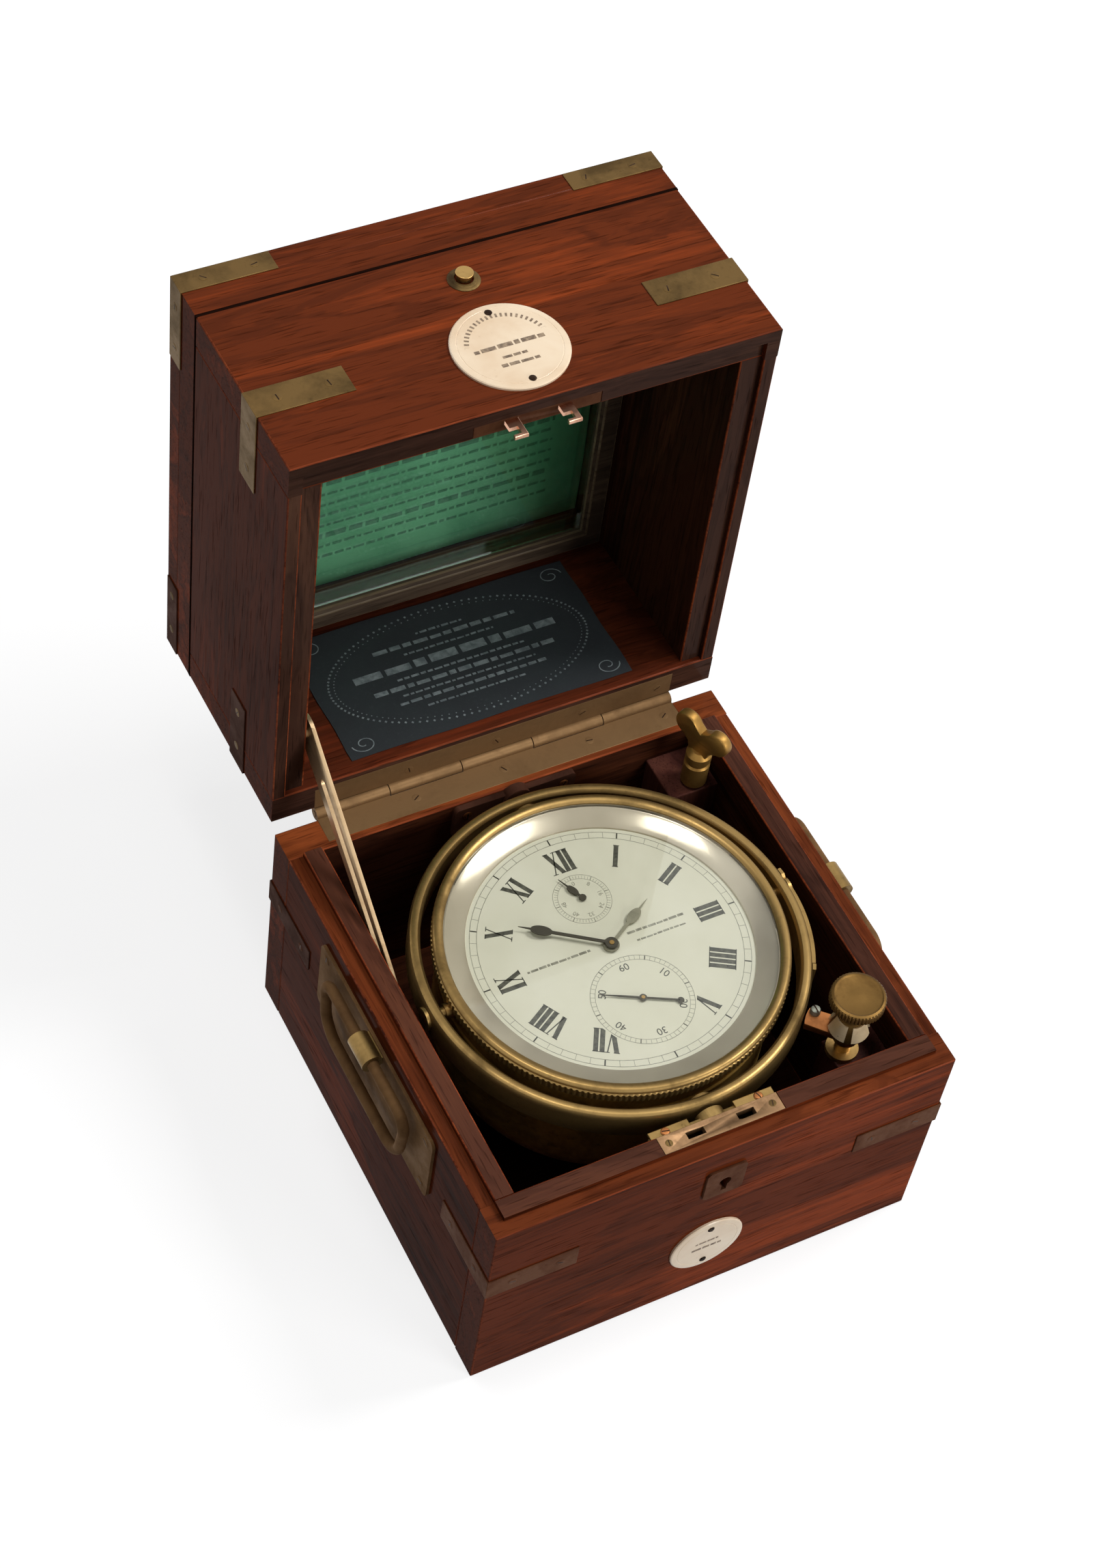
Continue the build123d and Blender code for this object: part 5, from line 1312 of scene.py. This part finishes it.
sunk = placed((0, 0, PRINT_SINK))
dial_rows = [(-33, -7, 1.2, 0.9), (8, 32, 2.6, 0.9), (10, 30, -1.4, 0.7)]
rules("dial_lettering", dial_rows, placed((0, 0, DIAL_TOP)) @ sunk, "bowl_body", faint_ink, gap=0.5)
disc_place = lid_open @ placed((0, DISC_FACE, LID_DISC_HEIGHT), 90)
disc_rows = [(-13, 13, 0.6, 1.7), (-5, 5, -4.6, 1.0), (-7, 7, -8.2, 1.3)]
rules("lid_disc_lettering", disc_rows, disc_place @ sunk, "mid_lid", disc_ink, gap=0.6)
base_disc_place = placed((0, DISC_FACE, BASE_DISC_HEIGHT), 90)
disc_rows = [(-5, 5, 2.4, 0.9), (-6, 6, -1.6, 1.1)]
rules("base_disc_lettering", disc_rows, base_disc_place @ sunk, "base", disc_ink, gap=0.6)

# %% The arch of marks on the upper disc
ARCH_FOOT = 3.0
arch_sizes = {"Count": 52, "Radius": 14.6 * MM, "Bar": (1.7 * MM, 0.75 * MM, INK_RISE * MM)}
arch = plain_mesh("lid_disc_arch", bars_tree(disc_ink), arch_sizes)
below = [vert for vert in arch.verts if vert.co.y < ARCH_FOOT * MM]
bmesh.ops.delete(arch, geom=below, context="VERTS")
piece("lid_disc_arch", arch, "mid_lid", disc_ink, place=disc_place @ placed((0, 0, INK_RISE / 2)))

# %% The black label with its lines
OVAL = (48, 24)
black_place = lid_open @ placed((1.0, 77.85, 134.0), 90)
sheet_piece("black_label", 116, 60, black_place, "mid_lid", black_paper)
black_rows = []
for y, high, share in ((17.0, 0.9, 0.30), (13.2, 1.7, 0.74), (9.0, 0.8, 0.42), (3.6, 3.4, 0.88),
                       (-1.6, 0.9, 0.55), (-5.4, 1.8, 0.80), (-9.2, 0.8, 0.62), (-12.6, 1.3, 0.74),
                       (-16.6, 0.8, 0.60)):
    reach = OVAL[0] * math.sqrt(1 - (y / OVAL[1]) ** 2) * share
    black_rows.append((-reach, reach, y, high))
rules("black_label_rules", black_rows, black_place, "mid_lid", grey_print)

# %% Oval border of beads, and a plain curl in each corner of the black label
BEADS = 110
CURL_STEPS, CURL_REACH, CURL_WIDTH = 26, 5.2, 0.45
CURL_MIDDLE = (50.5, 24.2)
border = bmesh.new()
for across, tall, size in ((52.6, 26.4, 0.55), (50.4, 24.6, 0.3)):
    for index in range(BEADS):
        turn = 2 * math.pi * index / BEADS
        middle = (across * math.cos(turn), tall * math.sin(turn))
        prism(border, round_corners(4, size, middle), PRINT_LOW, PRINT_HIGH)
for side in SIDES:
    for level in SIDES:
        for index in range(CURL_STEPS):
            corners = []
            after = index + 1
            for inset, step in ((0.0, index), (0.0, after), (CURL_WIDTH, after), (CURL_WIDTH, index)):
                turn = step / CURL_STEPS * 2.6 * math.pi
                reach = CURL_REACH * (1 - 0.75 * step / CURL_STEPS) - inset
                corners.append((side * (CURL_MIDDLE[0] + reach * math.cos(turn)),
                                level * (CURL_MIDDLE[1] + reach * math.sin(turn) * 0.8)))
            prism(border, corners, PRINT_LOW, PRINT_HIGH)
bmesh.ops.recalc_face_normals(border, faces=border.faces)
piece("black_label_border", border, "mid_lid", grey_print, place=black_place)


# %% [markdown]
# ## Floor, light and camera
#
# The box stands on a white floor under soft light from above and to the right. The floor shows white to
# the camera, and to mirrors and glass, through a little light of its own that falls on nothing else, and
# keeps the soft shadow.

# %% Floor and world
def shows_white(owner):
    """1 for what a camera, a mirror or a glass sees, and 0 for the light that falls on things."""
    names = ("Is Camera Ray", "Is Glossy Ray", "Is Transmission Ray")
    straight, mirrored, passed = (owner.node("ShaderNodeLightPath", output=name) for name in names)
    return (straight + mirrored + passed).clamped()


FLOOR_GLOW, GLOW_NEAR, GLOW_FAR = 0.77, 0.35, 1.2
FLOOR_HALF = 2.5
FLOOR_DROP = 0.0002
floor_mesh = bmesh.new()
bmesh.ops.create_grid(floor_mesh, x_segments=1, y_segments=1, size=FLOOR_HALF)
floor_data = bpy.data.meshes.new("studio_floor")
floor_mesh.to_mesh(floor_data)
floor_mesh.free()
floor = bpy.data.objects.new("studio_floor", floor_data)
bpy.context.scene.collection.objects.link(floor)
floor.location.z = -FLOOR_DROP
pale = Finish("studio_floor", base_color=(0.32, 0.32, 0.32, 1), roughness=0.9, specular_ior_level=0.0,
              emission_strength=1.0)
# The floor's glow is weaker near the box and full from 1.2 m out, which paints a soft shade round it.
distance = pale.node("ShaderNodeVectorMath", {"operation": "LENGTH"}, {0: pale.place()}, "Value")
glow_with_painted_shade = distance.step(GLOW_NEAR, GLOW_FAR) * (1 - FLOOR_GLOW) + FLOOR_GLOW
grey = pale.node("ShaderNodeCombineColor", None, {"Red": glow_with_painted_shade, "Green": glow_with_painted_shade, "Blue": glow_with_painted_shade})
pale.feed("Emission Color", pale.blend(shows_white(pale), (0, 0, 0), grey))
floor_data.materials.append(pale.material)


class Backdrop(Finish):
    """The world's own tree, with the same node method as a finish."""

    def __init__(self, tree):
        self.tree = tree
        self.shader = tree.nodes["Background"]


SKY_LIGHT = 0.16
world = bpy.data.worlds.new("studio")
bpy.context.scene.world = world
world.use_nodes = True
backdrop = Backdrop(world.node_tree)
backdrop.shader.inputs["Color"].default_value = (1, 1, 1, 1)
backdrop.feed("Strength", shows_white(backdrop) * (1 - SKY_LIGHT) + SKY_LIGHT)
print("floor:", 2 * FLOOR_HALF, "m wide, sky light:", SKY_LIGHT)


# %% Soft lamps
def lamp(name, place, target_height, size, power):
    """A soft oblong lamp, aimed at a height on the middle line of the box, in metres and watts."""
    data = bpy.data.lights.new(name, "AREA")
    data.shape = "RECTANGLE"
    data.size, data.size_y = size
    data.energy = power
    made = bpy.data.objects.new(name, data)
    bpy.context.scene.collection.objects.link(made)
    made.location = place
    aim = Vector((0, 0, target_height)) - Vector(place)
    made.rotation_euler = aim.to_track_quat("-Z", "Y").to_euler()
    print(name, power, "W")


lamp("key_softbox", (0.92, -0.10, 1.44), 0.1, (0.42, 0.6), 14.5)
lamp("top_softbox", (-0.165, 0.135, 1.6), 0.1, (0.32, 0.32), 5)
lamp("front_softbox", (0.7, -1.4, 0.7), 0.15, (0.8, 0.5), 12)
lamp("back_fill", (-0.6, 1.3, 0.6), 0.1, (0.8, 0.6), 3)

# %% [markdown]
# The camera's place, direction and lens were worked out from the corners of the box, so that the render
# can be laid over the photograph.

# %% Camera at the angle of the photograph
SENSOR = 36.0
FOCAL_PIXELS, FRAME_HEIGHT = 4606.8, 2296
CAMERA_PLACE = (-0.400384, -0.519379, 1.013709)
forward = Vector((0.35316696, 0.5088342, -0.78508652))
upward = Vector((0.2984156, 0.73406001, 0.6100033))
camera_data = bpy.data.cameras.new("camera")
camera_data.sensor_fit = "AUTO"
camera_data.sensor_width = SENSOR
camera_data.lens = SENSOR * FOCAL_PIXELS / FRAME_HEIGHT
camera = bpy.data.objects.new("camera", camera_data)
bpy.context.scene.collection.objects.link(camera)
turn = Matrix((forward.cross(upward), upward, -forward)).transposed().to_4x4()
camera.matrix_world = Matrix.Translation(CAMERA_PLACE) @ turn
bpy.context.scene.camera = camera
bpy.context.scene.view_settings.view_transform = "Standard"
print("lens in mm:", round(camera_data.lens, 2))
